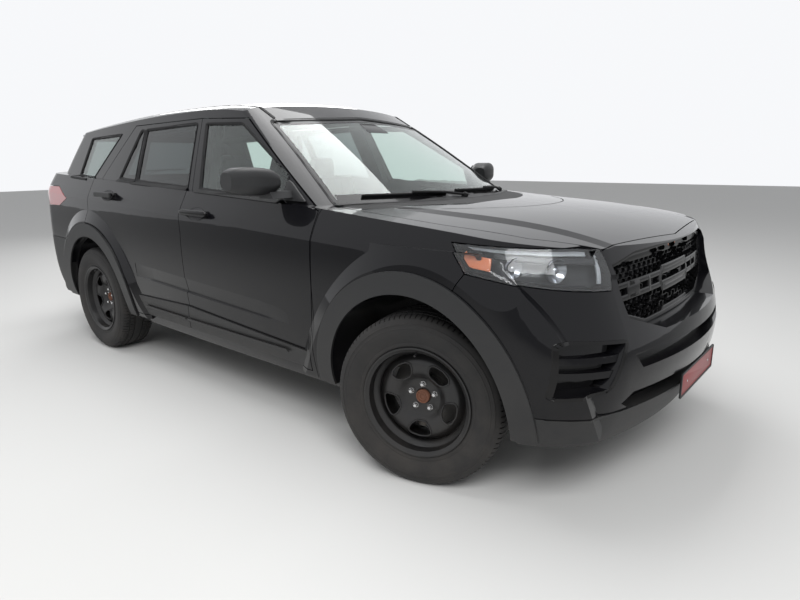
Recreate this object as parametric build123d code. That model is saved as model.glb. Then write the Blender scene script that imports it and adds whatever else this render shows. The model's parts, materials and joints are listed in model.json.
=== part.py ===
from build123d import *
import math
import os
from collections import namedtuple

os.makedirs("parts", exist_ok=True)

# A five-door police utility car. Millimetres, +X forward, +Y left, +Z up,
# origin on the ground at mid-length.

# Overall sizes
length = 5050
front_x = length / 2
rear_x = -length / 2
wheelbase = 3025
front_overhang = 890
front_axle_x = front_x - front_overhang
rear_axle_x = front_axle_x - wheelbase
track = 1700
tyre_width = 255
tyre_radius = 381.5
tyre_seat_radius = 228.6
rim_width = 222
rim_flange_radius = 245
steer_angle = 15.8

# Body sides and their gaps
body_half_width = 974
trim_half_width = 1002
door_wall_inner_y = 858
frame_thickness = 46
panel_gap = 5
trim_depth = 11
flare_proud = 30
glass_depth = 7
glass_thickness = 5
floor_z = 420
floor_thickness = 45
sill_bottom_z = 300
crown_radius_side = 90000
widest_x = 100

# Arches
arch_radius = 470
arch_trim_outer = 565
flare_outer = 730
flare_start_y = 930
arch_inner_y = 500

# Plan outlines of the body at rising heights: rise is how much the level climbs
# towards the rear per metre, nose and tail are set back from the length's ends,
# narrow is taken off the widest half width.
Level = namedtuple("Level", "z rise nose_back tail_back narrow nose_corner tail_corner")
lower_levels = [
    Level(sill_bottom_z, 0, 85, 95, 72, 380, 250),
    Level(420, 0, 30, 28, 34, 400, 280),
    Level(560, 0, 0, 0, 14, 430, 300),
    Level(700, 8, 10, 6, 4, 450, 300),
    Level(860, 22, 52, 38, 0, 450, 280),
    Level(1060, 40, 92, 58, 8, 430, 260),
]
shoulder_levels = [
    Level(1060, 40, 92, 58, 8, 430, 260),
    Level(1130, 41, 125, 84, 38, 420, 250),
    Level(1200, 43, 165, 125, 74, 400, 240),
    Level(1300, 43, 210, 185, 108, 380, 230),
]
nose_bow_radius = 2200
tail_bow_radius = 4000

# Plan outlines of the glasshouse: nose and tail are places on X
CabinLevel = namedtuple("CabinLevel", "z nose tail half nose_corner tail_corner")
cabin_levels = [
    CabinLevel(1060, 1440, -2452, 922, 125, 190),
    CabinLevel(1160, 1270, -2412, 886, 120, 185),
    CabinLevel(1400, 870, -2276, 794, 110, 170),
    CabinLevel(1620, 480, -2120, 704, 95, 150),
    CabinLevel(1790, 150, -1990, 630, 90, 140),
]
screen_bow_radius = 1400
gate_bow_radius = 2600
cabin_side_radius = 40000
cabin_widest_x = -450

# Top of the hood and shoulders, and the roof: heights over the outer edge and over
# the centre line, at places along X
Crown = namedtuple("Crown", "x edge_z centre_z")
HoodCrown = namedtuple("HoodCrown", "x edge_z centre_z bulge_y bulge_rise")
belt_crowns = [
    Crown(-2700, 1313, 1322),
    Crown(1000, 1156, 1186),
]
hood_crowns = [
    HoodCrown(1000, 1156, 1186, 610, 0),
    HoodCrown(1320, 1126, 1173, 600, 8),
    HoodCrown(1640, 1100, 1155, 585, 12),
    HoodCrown(1960, 1072, 1132, 570, 12),
    HoodCrown(2280, 1028, 1076, 560, 7),
    HoodCrown(2600, 915, 935, 550, 0),
]
bulge_ramp = 48
roof_crowns = [
    Crown(-2500, 1560, 1585),
    Crown(-2075, 1618, 1646),
    Crown(-1650, 1655, 1690),
    Crown(-1225, 1681, 1719),
    Crown(-800, 1699, 1739),
    Crown(-375, 1706, 1748),
    Crown(50, 1697, 1738),
    Crown(475, 1632, 1668),
    Crown(900, 1490, 1520),
    Crown(1325, 1310, 1340),
    Crown(1750, 1150, 1170),
]
crown_half_span = 1100
roof_edge_y = 600
roof_shoulder_y = 745
roof_shoulder_drop = 118
cabin_floor_cut_z = 1000

# Corners of the right-hand doors, drawn on the outer skin. skin_y is how far out the
# skin lies there, and slant is how far the edge moves forward for each mm inboard,
# so that a door swings out past the edge behind it.
Corner = namedtuple("Corner", "x z skin_y slant")
door_bottom_z = 372
door_hinge_heights = (600, 960)
door_split = [
    Corner(-140, door_bottom_z, 945, 0.16),
    Corner(-100, 520, 962, 0.16),
    Corner(-105, 970, 970, 0.16),
    Corner(-108, 1210, 868, 0.32),
    Corner(-203, 1632, 700, 0.32),
]
front_door_front = [
    Corner(262, 1612, 700, 0),
    Corner(955, 1166, 884, 0),
    Corner(1031, 1150, 915, 0),
    Corner(1038, 800, 975, 0),
    Corner(1004, door_bottom_z, 960, 0),
]
rear_door_back = [
    Corner(-1053, 1622, 700, 0.34),
    Corner(-1387, 1262, 862, 0.34),
    Corner(-1400, 1120, 945, 0.16),
    Corner(-1400, 900, 970, 0.16),
    Corner(-880, door_bottom_z, 950, 0.16),
]
front_window = [(-30, 1224), (-140, 1600), (222, 1586), (724, 1314), (724, 1192)]
rear_window = [(-172, 1230), (-250, 1606), (-872, 1590), (-820, 1256)]
rear_vent = [(-862, 1258), (-912, 1589), (-952, 1588), (-1088, 1268)]
quarter_window = [(-1539, 1268), (-1256, 1571), (-1761, 1556), (-1808, 1282)]
screen_face = [(-776, 1168), (-634, 1598), (0, 1634), (634, 1598), (776, 1168)]
gate_window = [(-690, 1262), (-598, 1548), (598, 1548), (690, 1262)]
gate_face = [(-690, 800), (-745, 1080), (-722, 1190), (-722, 1312), (-622, 1640), (-560, 1760),
             (560, 1760), (622, 1640), (722, 1312), (722, 1190), (745, 1080), (690, 800)]
gate_front_x = -2045
gate_rim_depth = 25
gate_rim_relief = 14
hood_plan = [(1290, 0), (1222, 430), (1066, 800), (1700, 806), (2060, 770), (2290, 640), (2362, 0)]
hood_thickness = 45
headlamp_side = [(1812, 1070), (1905, 968), (2340, 912), (2440, 930), (2430, 1062)]
headlamp_inner_y = 650
tail_lamp_side = [(-1806, 1112), (-1990, 1196), (-2600, 1200), (-2600, 1046), (-1960, 1052)]
grille_face = [(-372, 728), (-590, 800), (-630, 1004), (-430, 1040),
               (430, 1040), (630, 1004), (590, 800), (372, 728)]
valance_side = [(2095, 200), (2095, 452), (2700, 452), (2700, 200)]
bumper_side = [(1700, 452), (1862, 893), (1905, 966), (2342, 910), (2372, 1300), (2700, 1300),
               (2700, 452)]
band_side = [(2180, 452), (2180, 1300), (2700, 1300), (2700, 452)]
rear_bumper_side = [(-1830, 200), (-1830, 790), (-2700, 795), (-2700, 200)]
roof_rear_x = gate_front_x + panel_gap
roof_plan = [(roof_rear_x, -598), (420, -598), (520, 0), (520, 1), (roof_rear_x, 1)]
floor_side = [(-2360, 200), (-2360, 424), (1036, 424), (1036, 1052), (1110, 1052), (1110, 200)]
fender_side = [(1044, 200), (1044, 1135), (1110, 1300), (2500, 1300), (2500, 200)]
groove_depth = 22
seat_clearance = 0.3
pillar_clearance = 3
grille_bow_radius = 3800
grille_rake = 8
grille_centre_z = 880
grille_x = 2371
grille_depth = 14
bezel_face = [(-650, 720), (-735, 560), (-905, 545), (-890, 738)]
bezel_depth = 62
Scoop = namedtuple("Scoop", "x depth")
scoop_places = [Scoop(-740, 0.5), Scoop(-520, 12), Scoop(650, 12), Scoop(930, 0.5)]
scoop_height = 90
scoop_ledge_z = 606
scoop_ledge_rise = 38
slot_face = [(-560, 612), (-604, 672), (604, 672), (560, 612)]
intake_face = [(-655, 484), (-600, 522), (600, 522), (655, 484), (600, 452), (-600, 452)]
slat_heights = (600, 655)
slat_depth = 26
slat_recess = 14
cladding_side = [(-1100, 300), (-1100, 495), (-830, 500), (-100, 526), (1060, 458), (1060, 300)]
handle_y = 975
handle_length = 250
MirrorRing = namedtuple("MirrorRing", "y x z width height corner")
mirror_rings = [
    MirrorRing(918, 752, 1282, 84, 72, 30),
    MirrorRing(960, 728, 1284, 150, 116, 44),
    MirrorRing(1030, 706, 1286, 176, 132, 48),
    MirrorRing(1096, 678, 1287, 160, 124, 48),
    MirrorRing(1134, 655, 1287, 90, 84, 34),
]
mirror_arm = [(706, 1204), (700, 1236), (790, 1236), (812, 1204)]
mirror_foot_y = -850
groove_width = 4
spoiler_rear_x = -2225
spoiler_half_width = 590
spoiler_thickness = 34
grille_bars = [[(-590, 850), (590, 850), (590, 875), (-590, 875)],
               [(-590, 900), (590, 900), (590, 925), (-590, 925)]]
badge_frame = [(-213, 884), (-178, 940), (178, 940), (213, 884), (178, 828), (-178, 828)]
badge_frame_width = 26
bar_proud = 12
front_plate_size = (4, 520, 114)
front_plate_z = 455
front_plate_bracket_size = (36, 300, 30)
front_plate_bracket_z = 432
gate_lamp_face = [(-770, 1048), (-770, 1186), (-450, 1180), (-450, 1060)]
gate_lamp_front_x = -2380

# Walls of the hollows
firewall_x = 1040
firewall_thickness = 65
bay_front_x = 2280
bay_half_width = 700
liner_thickness = 8
rear_liner_thickness = 22
rear_liner_outer_y = 925
rear_house_clearance = 8
room_rear_x = -2375
belt_room_z = 1130
cowl_box = ((1000, -1000, 900), (1500, 1000, 1112))
bay_low_top_z = 1055
bay_high_box = ((1430, -690, 1000), (2230, 0, 1118))
under_floor_half_width = 770
hood_leaf = ((1090, -780, 900), (1150, -720, 1300))
gate_leaf_y = (-480, -420)
gate_leaf_z = (1595, 1622)
gate_leaf_reach = 20
door_leaf_height = 60
front_leaf_x = (900, 1100)
front_leaf_y = (-940, -890)
rear_leaf_x = (-170, -130)

# Posts between the doors, inside the door walls
post_side = [(-170, 400), (-170, 1200), (-265, 1680), (-125, 1680), (-30, 1200), (-30, 400)]
post_face = [(-850, 400), (-850, 1090), (-829, 1160), (-738, 1400), (-672, 1555), (-643, 1606),
             (-622, 1630), (-622, 1665), (-600, 1665), (-600, 1600), (-680, 1400), (-770, 1160),
             (-800, 1090), (-800, 400)]

# Rails and running gear
rail_inner_y = 410
rail_outer_y = 500
rail_bottom_z = 300
rail_top_z = 420
subframe_depth = 60
arm_top_z = 270
arm_depth = 25
arm_width = 60
joint_radius = 34
upright_y = 125
bay_rear_x = firewall_x + firewall_thickness
floor_rear_x = -2330
spindle_radius = 40
upright_size = (90, 44, 265)
upright_corner = 14
carrier_size = (110, 40, 220)
rear_subframe_length = 520
front_subframe_length = 560
rear_arm_size = (90, 245, 285)

# Wheel discs
disc_windows = 5
window_length = 100
window_width = 56
window_radius = 150
hub_radius = 62
hub_cap_radius = 34
nut_circle_radius = 57
nut_radius = 11
nut_length = 24

# Cabin and engine
dash_depth = 285
dash_half_width = 700
dash_bottom_z = 820
dash_top_z = 1080
dash_corner = 40
console_rear_x = -80
console_half_width = 105
console_top_z = 690
wheel_ring_radius = 185
wheel_ring_tube = 16
wheel_hub_radius = 62
wheel_place = (630, 380, 1010)
wheel_tilt = 65
column_radius = 30
column_length = 300
engine_size = (620, 700, 520)
engine_centre_z = 660
engine_foot_length = 140
engine_foot_top_z = 470
cushion_depth = 520
cushion_height = 150
cushion_centre_z = 640
back_depth = 130
back_height = 620
back_lean = 16
head_size = (90, 240, 150)
seat_corner = 35
seat_base_top_z = 565
front_seat_x = 80
front_seat_y = 380
front_seat_width = 520
front_head_z = 1330
rear_seat_x = -680
rear_seat_width = 1280
rear_head_z = 1360
handle_places = {"front": (60, 1098), "rear": (-1090, 1164)}


def point_on(centre, toward, radius):
    dx, dy = toward[0] - centre[0], toward[1] - centre[1]
    reach = math.hypot(dx, dy)
    return (centre[0] + dx / reach * radius, centre[1] + dy / reach * radius)


def corner_centre(end_centre, end_radius, side_centre, side_radius, towards):
    """Centre of a circle that touches both bows from the inside."""
    dx, dy = side_centre[0] - end_centre[0], side_centre[1] - end_centre[1]
    span = math.hypot(dx, dy)
    along = (end_radius ** 2 - side_radius ** 2 + span ** 2) / (2 * span)
    off = math.sqrt(end_radius ** 2 - along ** 2)
    places = [
        (
            end_centre[0] + along * dx / span + sign * off * dy / span,
            end_centre[1] + along * dy / span - sign * off * dx / span,
        )
        for sign in (1, -1)
    ]
    return max(places, key=lambda place: towards * place[0] + place[1])


def bowed_outline(z, rise, nose, tail, half, corners, bows, widest):
    """A closed plan outline: nose bow, corner, side bow, corner, tail bow, mirrored."""
    nose_bow, tail_bow, side_bow = bows
    nose_at, tail_at = (nose - nose_bow, 0), (tail + tail_bow, 0)
    side_at = (widest, half - side_bow)
    front = corner_centre(nose_at, nose_bow - corners[0], side_at, side_bow - corners[0], 1)
    back = corner_centre(tail_at, tail_bow - corners[1], side_at, side_bow - corners[1], -1)
    ends = [
        point_on(nose_at, front, nose_bow),
        point_on(side_at, front, side_bow),
        point_on(side_at, back, side_bow),
        point_on(tail_at, back, tail_bow),
    ]

    def halfway(centre, a, b, radius):
        return point_on(centre, ((a[0] + b[0]) / 2, (a[1] + b[1]) / 2), radius)

    middles = [
        halfway(front, ends[0], ends[1], corners[0]),
        (widest, half),
        halfway(back, ends[2], ends[3], corners[1]),
    ]

    def at(place, side=1):
        return (place[0], side * place[1], z - rise * place[0] / 1000)

    left = [ThreePointArc(at(ends[i]), at(middles[i]), at(ends[i + 1])) for i in range(3)]
    right = [
        ThreePointArc(at(ends[i + 1], -1), at(middles[i], -1), at(ends[i], -1))
        for i in (2, 1, 0)
    ]
    nose_arc = ThreePointArc(at(ends[0], -1), at((nose, 0)), at(ends[0]))
    tail_arc = ThreePointArc(at(ends[3]), at((tail, 0)), at(ends[3], -1))
    return Wire([nose_arc] + left + [tail_arc] + right)


def body_outline(level, inset):
    return bowed_outline(
        level.z,
        level.rise,
        front_x - level.nose_back - inset,
        rear_x + level.tail_back + inset,
        body_half_width - level.narrow - inset,
        (level.nose_corner - inset, level.tail_corner - inset),
        (nose_bow_radius, tail_bow_radius, crown_radius_side),
        widest_x,
    )


def cabin_outline(level, inset):
    return bowed_outline(
        level.z,
        0,
        level.nose - inset * 1.7,
        level.tail + inset * 1.1,
        level.half - inset,
        (max(level.nose_corner - inset, 20), max(level.tail_corner - inset, 20)),
        (screen_bow_radius, gate_bow_radius, cabin_side_radius),
        cabin_widest_x,
    )


def box_between(low, high):
    size = [high[i] - low[i] for i in range(3)]
    middle = [(high[i] + low[i]) / 2 for i in range(3)]
    return Pos(*middle) * Box(*size)


def crown_section(crown, drop):
    x, edge, centre = crown.x, crown.edge_z - drop, crown.centre_z - drop
    half = crown_half_span
    return Wire([
        ThreePointArc((x, -half, edge), (x, 0, centre), (x, half, edge)),
        Line((x, half, edge), (x, half, 200)),
        Line((x, half, 200), (x, -half, 200)),
        Line((x, -half, 200), (x, -half, edge)),
    ])


def hood_section(crown, drop):
    """A crowned section with a raised middle between two creases."""
    x, edge, centre = crown.x, crown.edge_z - drop, crown.centre_z - drop
    half, inner, rise = crown_half_span, crown.bulge_y, crown.bulge_rise

    def height(y):
        return centre - (centre - edge) * (y / half) ** 2

    def arc(start, end, lift):
        places = [(x, y, height(y) + lift) for y in (start, (start + end) / 2, end)]
        return ThreePointArc(*places)

    foot = inner + bulge_ramp
    low, high = height(foot), height(inner) + rise
    return Wire([
        arc(-half, -foot, 0),
        Line((x, -foot, low), (x, -inner, high)),
        arc(-inner, inner, rise),
        Line((x, inner, high), (x, foot, low)),
        arc(foot, half, 0),
        Line((x, half, edge), (x, half, 200)),
        Line((x, half, 200), (x, -half, 200)),
        Line((x, -half, 200), (x, -half, edge)),
    ])


def roof_section(crown, drop):
    x, edge, centre = crown.x, crown.edge_z - drop, crown.centre_z - drop
    inner, outer, low = roof_edge_y, roof_shoulder_y - drop, edge - roof_shoulder_drop
    bend_y, bend_z = outer - 48, edge - 38
    foot = cabin_floor_cut_z
    return Wire([
        ThreePointArc((x, -outer, low), (x, -bend_y, bend_z), (x, -inner, edge)),
        ThreePointArc((x, -inner, edge), (x, 0, centre), (x, inner, edge)),
        ThreePointArc((x, inner, edge), (x, bend_y, bend_z), (x, outer, low)),
        Line((x, outer, low), (x, outer + 220, foot)),
        Line((x, outer + 220, foot), (x, -outer - 220, foot)),
        Line((x, -outer - 220, foot), (x, -outer, low)),
    ])


def body_solid(inset=0):
    low = Solid.make_loft([body_outline(level, inset) for level in lower_levels])
    high = Solid.make_loft([body_outline(level, inset) for level in shoulder_levels])
    belt = Solid.make_loft([crown_section(crown, inset) for crown in belt_crowns], True)
    hood = Solid.make_loft([hood_section(crown, inset) for crown in hood_crowns])
    return (low + high) & (belt + hood)


def cabin_solid(inset=0):
    sides = Solid.make_loft([cabin_outline(level, inset) for level in cabin_levels])
    return sides & roof_top(inset)


def roof_top(inset=0):
    return Solid.make_loft([roof_section(crown, inset) for crown in roof_crowns])


def flat(points):
    """A flat face from its corners."""
    return Face(Wire(Polyline(*points, close=True).edges()))


def side_block(points, low_y, high_y):
    """A block with an XZ outline, between two places on Y."""
    face = flat([(x, low_y, z) for x, z in points])
    return Solid.extrude(face, (0, high_y - low_y, 0))


def end_block(points, low_x, high_x):
    """A block with a YZ outline, between two places on X."""
    face = flat([(low_x, y, z) for y, z in points])
    return Solid.extrude(face, (high_x - low_x, 0, 0))


def plan_block(points, low_z, high_z):
    """A block with an XY outline, between two heights."""
    face = flat([(x, y, low_z) for x, y in points])
    return Solid.extrude(face, (0, 0, high_z - low_z))


def across_cylinder(x, z, radius, low_y, high_y):
    wheel_plane = Plane((x, low_y, z), x_dir=(1, 0, 0), z_dir=(0, 1, 0))
    return Solid.make_cylinder(radius, high_y - low_y, wheel_plane)


def slanted_block(corners, shift=0, outer_y=1060, inner_y=560):
    """The space a right-hand door fills, from outside the skin to inside the wall."""
    sheets = []
    for y in (outer_y, inner_y):
        ring = [(c.x + shift + c.slant * (c.skin_y - y), -y, c.z) for c in corners]
        sheets.append(Wire(Polyline(*ring, close=True).edges()))
    return Solid.make_loft(sheets, True)


def grown(points, by):
    """The same outline, moved outward by a gap."""
    ring = Wire(Polyline(*points, close=True).edges()).offset_2d(by, Kind.INTERSECTION)
    return [tuple(edge.position_at(0))[:2] for edge in ring.order_edges()]


def mirrored(shape):
    return shape.mirror(Plane.XZ)


def both(shape):
    return Compound([*shape.solids(), *mirrored(shape).solids()])


def save(name, shape):
    shape.label = name
    export_step(shape, f"parts/{name}.step")


right_half = box_between((-3000, -1300, 0), (3000, 0, 2500))
flare_skin = body_solid(-flare_proud)
arch_centres = (front_axle_x, rear_axle_x)
body = body_solid()
cabin = cabin_solid()
cabin_room = cabin_solid(frame_thickness)


def arch_flares():
    """Raised wings round the arches, conical above the trim, on the right side."""
    rings = []
    for x in arch_centres:
        profile = make_face(Polyline(
            (0, 700, 0), (0, trim_half_width - trim_depth, 0),
            (arch_trim_outer + 12, trim_half_width - trim_depth, 0),
            (flare_outer, flare_start_y, 0), (flare_outer, 700, 0), close=True))
        ring = revolve(profile, Axis.Y)
        rings.append(mirrored(Pos(x, 0, tyre_radius) * ring))
    keep = box_between((-3000, -1300, sill_bottom_z + 40), (3000, 0, 1040)) & flare_skin
    return [ring & keep for ring in rings]


def room():
    """The hollow that people and luggage use, right half."""
    low = box_between((room_rear_x, -door_wall_inner_y, floor_z), (firewall_x, 0, belt_room_z))
    high = cabin_room - box_between(*cowl_box)
    houses = rear_houses(rear_house_clearance)
    return (low + high & right_half) - houses


def rear_houses(grow=0):
    """What the rear wheels and their liners take from the load space, right side."""
    radius = arch_radius + rear_liner_thickness + grow
    inner_y = rear_liner_thickness - arch_inner_y
    around = across_cylinder(rear_axle_x, tyre_radius, radius, -1100, inner_y)
    return around & box_between((-3000, -1100, sill_bottom_z), (3000, inner_y, 1100))


def wheel_liner(x, thickness, outer_y, bottom_z):
    """The inner half of a wheel well: a ring closed towards the car's middle."""
    around = across_cylinder(x, tyre_radius, arch_radius + thickness, -outer_y, thickness - arch_inner_y)
    hollow = across_cylinder(x, tyre_radius, arch_radius, -outer_y - 100, -arch_inner_y)
    return (around - hollow) & box_between((-3000, -1100, bottom_z), (3000, 0, 1100))


def engine_bay():
    low = box_between((bay_rear_x, -bay_half_width, sill_bottom_z - 100), (bay_front_x, 0, bay_low_top_z))
    return low + box_between(*bay_high_box)


def under_floor():
    """The open space below the floor, between the sills and the bumpers."""
    return box_between((floor_rear_x, -under_floor_half_width, sill_bottom_z - 100),
                       (bay_rear_x, 0, floor_z - floor_thickness))


def rails():
    """Right-hand rails under the floor and beside the engine."""
    rear = box_between((floor_rear_x, -rail_outer_y, rail_bottom_z),
                       (rear_axle_x + 500, -rail_inner_y, floor_z - floor_thickness))
    front = box_between((bay_rear_x, -rail_outer_y, rail_bottom_z), (bay_front_x, -rail_inner_y, rail_top_z))
    return rear + front


def door_scoop():
    """A long hollow over a ledge, low on the right-hand doors."""
    rings = []
    for place in scoop_places:
        ledge = scoop_ledge_z - scoop_ledge_rise * place.x / 1000
        bow = (place.x - widest_x) ** 2 / (2 * crown_radius_side)
        skin = body_half_width - 8 - bow
        rings.append(Wire(Polyline(
            (place.x, -skin - 3, ledge + scoop_height), (place.x, place.depth - skin, ledge + 7),
            (place.x, -skin, ledge), (place.x, -1020, ledge), (place.x, -1020, ledge + scoop_height),
            close=True).edges()))
    return Solid.make_loft(rings, True)


def door_post():
    """The right-hand post that the rear door hangs on."""
    return side_block(post_side, -900, -500) & end_block(post_face, -400, 100)


def arches():
    return [across_cylinder(x, tyre_radius, arch_radius, -1100, -arch_inner_y) for x in arch_centres]


def hood_outline(gap):
    plan = [(x, -y) for x, y in hood_plan]
    if gap:
        plan = grown(plan, gap)
    return plan_block(plan, 900, 1300)


def hood_space(gap=0):
    """The right half of the hood, with its gap."""
    below = Pos(0, 0, -hood_thickness - gap) * body
    return (hood_outline(gap) & body & right_half) - below


def front_door_block(gap=0):
    split = [Corner(c.x - gap, c.z - gap * (i == 0) + gap * (i == 4), c.skin_y, c.slant)
             for i, c in enumerate(door_split)]
    front = [Corner(c.x + gap, c.z + gap * (c.z > 1000) - gap * (c.z < 400), c.skin_y, c.slant)
             for c in front_door_front]
    return slanted_block(split + front) - room_floor_block


def rear_door_block(gap=0):
    split = [Corner(c.x - panel_gap + gap, c.z - gap * (i == 0) + gap * (i == 4), c.skin_y, c.slant)
             for i, c in enumerate(door_split)]
    back = [Corner(c.x - gap, c.z + gap * (i == 0) - gap * (i == 4), c.skin_y, c.slant)
            for i, c in enumerate(rear_door_back)]
    block = slanted_block(split[::-1] + back[::-1]) - room_floor_block
    radius = arch_trim_outer + 2 * panel_gap - gap
    slope = 0.16
    cone = Solid.make_cone(
        radius - slope * 100, radius + slope * 400, 500,
        Plane((rear_axle_x, -1070, tyre_radius), x_dir=(1, 0, 0), z_dir=(0, 1, 0)))
    return block - cone


room_floor_block = box_between((-1200, -door_wall_inner_y, 300), (1100, -500, 1000))


def window_cuts(outlines):
    return [side_block(outline, -1100, -520) for outline in outlines]


def shell_half():
    """The right half of the body's walls, before it is split into panels."""
    wall = body & right_half
    for flare in arch_flares():
        wall = wall + flare
    skin = wall
    wall = wall + (cabin & right_half)
    for hollow in [room(), engine_bay(), under_floor()] + arches() + [rear_houses(0)]:
        wall = wall - hollow
    wall = wall + wheel_liner(rear_axle_x, rear_liner_thickness, rear_liner_outer_y, floor_z - floor_thickness)
    return wall, skin


def largest(shape):
    return max(shape.solids(), key=lambda solid: solid.volume)


def taken(wall, zone, groove):
    """A fixed panel out of the wall, and the wall with a shallow groove round it."""
    return wall & zone, wall - zone - (groove - core)


def grille_front(x):
    """All that lies behind the grille's bowed and raked face."""
    drum = Pos(-grille_bow_radius, 0, 0) * Cylinder(grille_bow_radius, 900)
    return Pos(x, 0, grille_centre_z) * Rot(0, -grille_rake, 0) * drum


def bezel_faces():
    return end_block(bezel_face, 2000, 2600)


def slats():
    """Two bars across the right-hand fog lamp's hollow."""
    bars = [box_between((2000, -905, z), (2600, -650, z + slat_depth)) for z in slat_heights]
    return (bars[0] + bars[1]) & bezel_faces()


core = (body_solid(groove_depth) + cabin_solid(groove_depth)) & right_half
sheet = cabin_solid(glass_depth) - cabin_solid(glass_depth + glass_thickness)
screen_block = end_block(screen_face, 200, 1500)
gate_glass_block = end_block(gate_window, -2600, -1900)
fixed_zones = {
    "headlamp": ("side", headlamp_side, -1150, -headlamp_inner_y),
    "front_valance": ("side", valance_side, -1150, 1),
    "front_bumper": ("side", bumper_side, -1150, 1),
    "rear_bumper": ("side", rear_bumper_side, -1150, 1),
    "tail_lamp": ("side", tail_lamp_side, -1150, -600),
    "roof": ("plan", roof_plan, 1300, 1900),
    "underbody": ("side", floor_side, -door_wall_inner_y + 60, 1),
    "fender": ("side", fender_side, -1150, -600),
}


def split_shell():
    """Panels of the right half, by name."""
    wall, skin = shell_half()
    recess = end_block(grille_face, 2100, 2700) - grille_front(grille_x - grille_depth)
    behind = Pos(-bezel_depth, 0, 0) * body
    fog = bezel_faces() - behind
    for cut in window_cuts([front_window, rear_window, rear_vent, quarter_window]):
        wall = wall - cut
    slot = end_block(slot_face, 2000, 2600) - behind
    intake = end_block(intake_face, 2000, 2600) - behind
    for cut in (screen_block, gate_glass_block, recess, fog, slot, intake, door_scoop()):
        wall = wall - cut
    wall = wall + (slats() & (Pos(-slat_recess, 0, 0) * body - Pos(-bezel_depth - 2, 0, 0) * body))
    panels = {}
    panels["front_door"] = largest(wall & front_door_block())
    panels["rear_door"] = largest(wall & rear_door_block())
    wall = wall - front_door_block(panel_gap)
    wall = wall - rear_door_block(panel_gap)
    panels["hood"] = hood_space() - recess - screen_block
    wall = wall - (hood_outline(panel_gap) - Pos(0, 0, -hood_thickness - panel_gap) * body)
    gate = end_block(gate_face, -2700, gate_front_x)
    deep = Pos(gate_rim_depth, 0, 0) * (body + cabin)
    rim = deep - end_block(grown(gate_face, -gate_rim_relief), -2700, -1700)
    panels["liftgate"] = (wall & gate) - rim
    lamp = end_block(gate_lamp_face, -2700, gate_lamp_front_x)
    lamp_groove = end_block(grown(gate_lamp_face, groove_width), -2700, gate_lamp_front_x)
    panels["gate_lamp"], panels["liftgate"] = taken(panels["liftgate"], lamp, lamp_groove)
    wall = wall - (end_block(grown(gate_face, panel_gap), -2700, gate_front_x + panel_gap))
    for name, (kind, outline, low, high) in fixed_zones.items():
        block = {"side": side_block, "plan": plan_block}[kind]
        zone = block(outline, low, high)
        groove = block(grown(outline, groove_width), low - groove_width, high)
        if name == "front_bumper":
            zone = zone + side_block(band_side, -headlamp_inner_y, 1)
        panels[name], wall = taken(wall, zone, groove)
    panels["body_sides"] = largest(wall) + door_post()
    panels["underbody"] = panels["underbody"] + rails()
    liner = wheel_liner(front_axle_x, liner_thickness, bay_half_width, rail_top_z)
    panels["fender"] = largest(panels["fender"] + liner)
    return panels, skin


def hinge_leaves(panel, block, spots):
    """Small leaves that cross the gap from a door's front edge to what carries it."""
    for low, high in spots:
        panel = panel + (block & box_between(low, high))
    return panel


def front_door(panel):
    gap = front_door_block(panel_gap - seat_clearance) - front_door_block()
    spots = [((front_leaf_x[0], front_leaf_y[0], z),
              (front_leaf_x[1], front_leaf_y[1], z + door_leaf_height)) for z in door_hinge_heights]
    return hinge_leaves(panel, gap, spots)


def rear_door(panel):
    leaf_y = -door_wall_inner_y + panel_gap + pillar_clearance - seat_clearance
    for z in door_hinge_heights:
        panel = panel + box_between((rear_leaf_x[0], -door_wall_inner_y - 8, z),
                                    (rear_leaf_x[1], leaf_y, z + door_leaf_height))
    return panel


def hood(panel):
    """The hood's right half with the hinge leaf under its rear corner."""
    under = Pos(0, 0, -hood_thickness) * body - Pos(0, 0, seat_clearance - hood_thickness - panel_gap) * body
    return panel + (under & hood_outline(0) & box_between(*hood_leaf))


def liftgate(panel):
    """The liftgate's right half with a hinge leaf across the gap to the roof."""
    leaf = box_between((gate_front_x - gate_leaf_reach, gate_leaf_y[0], gate_leaf_z[0]),
                       (gate_front_x + panel_gap - seat_clearance, gate_leaf_y[1], gate_leaf_z[1]))
    plank = roof_top() - Pos(0, 0, -spoiler_thickness) * roof_top()
    spoiler = plank & box_between((spoiler_rear_x, -spoiler_half_width, 1400), (gate_front_x, 0, 1800))
    return panel + leaf + (spoiler - cabin_room)


def door_glass(outlines):
    return Compound([s for outline in outlines for s in (sheet & side_block(outline, -1100, -520)).solids()])


def cladding(block, skin):
    fat = body_solid(-trim_depth) & right_half & side_block(cladding_side, -1100, -700)
    return largest((fat & block) - skin)


def handle(x, z, panel):
    bar = Pos(x, -handle_y, z) * fillet(Box(handle_length, 20, 34).edges(), 7)
    shape = bar
    for side in (-1, 1):
        shape = shape + Pos(x + side * (handle_length / 2 - 30), -handle_y + 30, z) * Box(36, 50, 24)
    return largest(shape - panel)


def mirror_piece():
    """Door mirror: a swept housing on an arm that stands on the belt."""
    rings = []
    for ring in mirror_rings:
        corner = Pos(0, -ring.y, 0) * Rot(90, 0, 0) * Pos(ring.x, ring.z) * RectangleRounded(
            ring.width, ring.height, ring.corner)
        rings.append(corner.wires()[0])
    housing = Solid.make_loft(rings)
    return housing + side_block(mirror_arm, -985, mirror_foot_y)


def arch_trims(skin):
    fat = body_solid(-flare_proud - trim_depth) & right_half
    fat = fat & box_between((-3000, -1300, 338), (3000, -800, 1100))
    trims = []
    for x in arch_centres:
        ring = across_cylinder(x, tyre_radius, arch_trim_outer, -1100, -850)
        ring = ring - across_cylinder(x, tyre_radius, arch_radius, -1150, -800)
        trims += [largest((ring & fat) - skin)]
    return trims


def revolved(profile):
    """A turned piece about Y from (radius, y) corners."""
    return revolve(flat([(r, y, 0) for r, y in profile]), Axis.Y)


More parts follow.
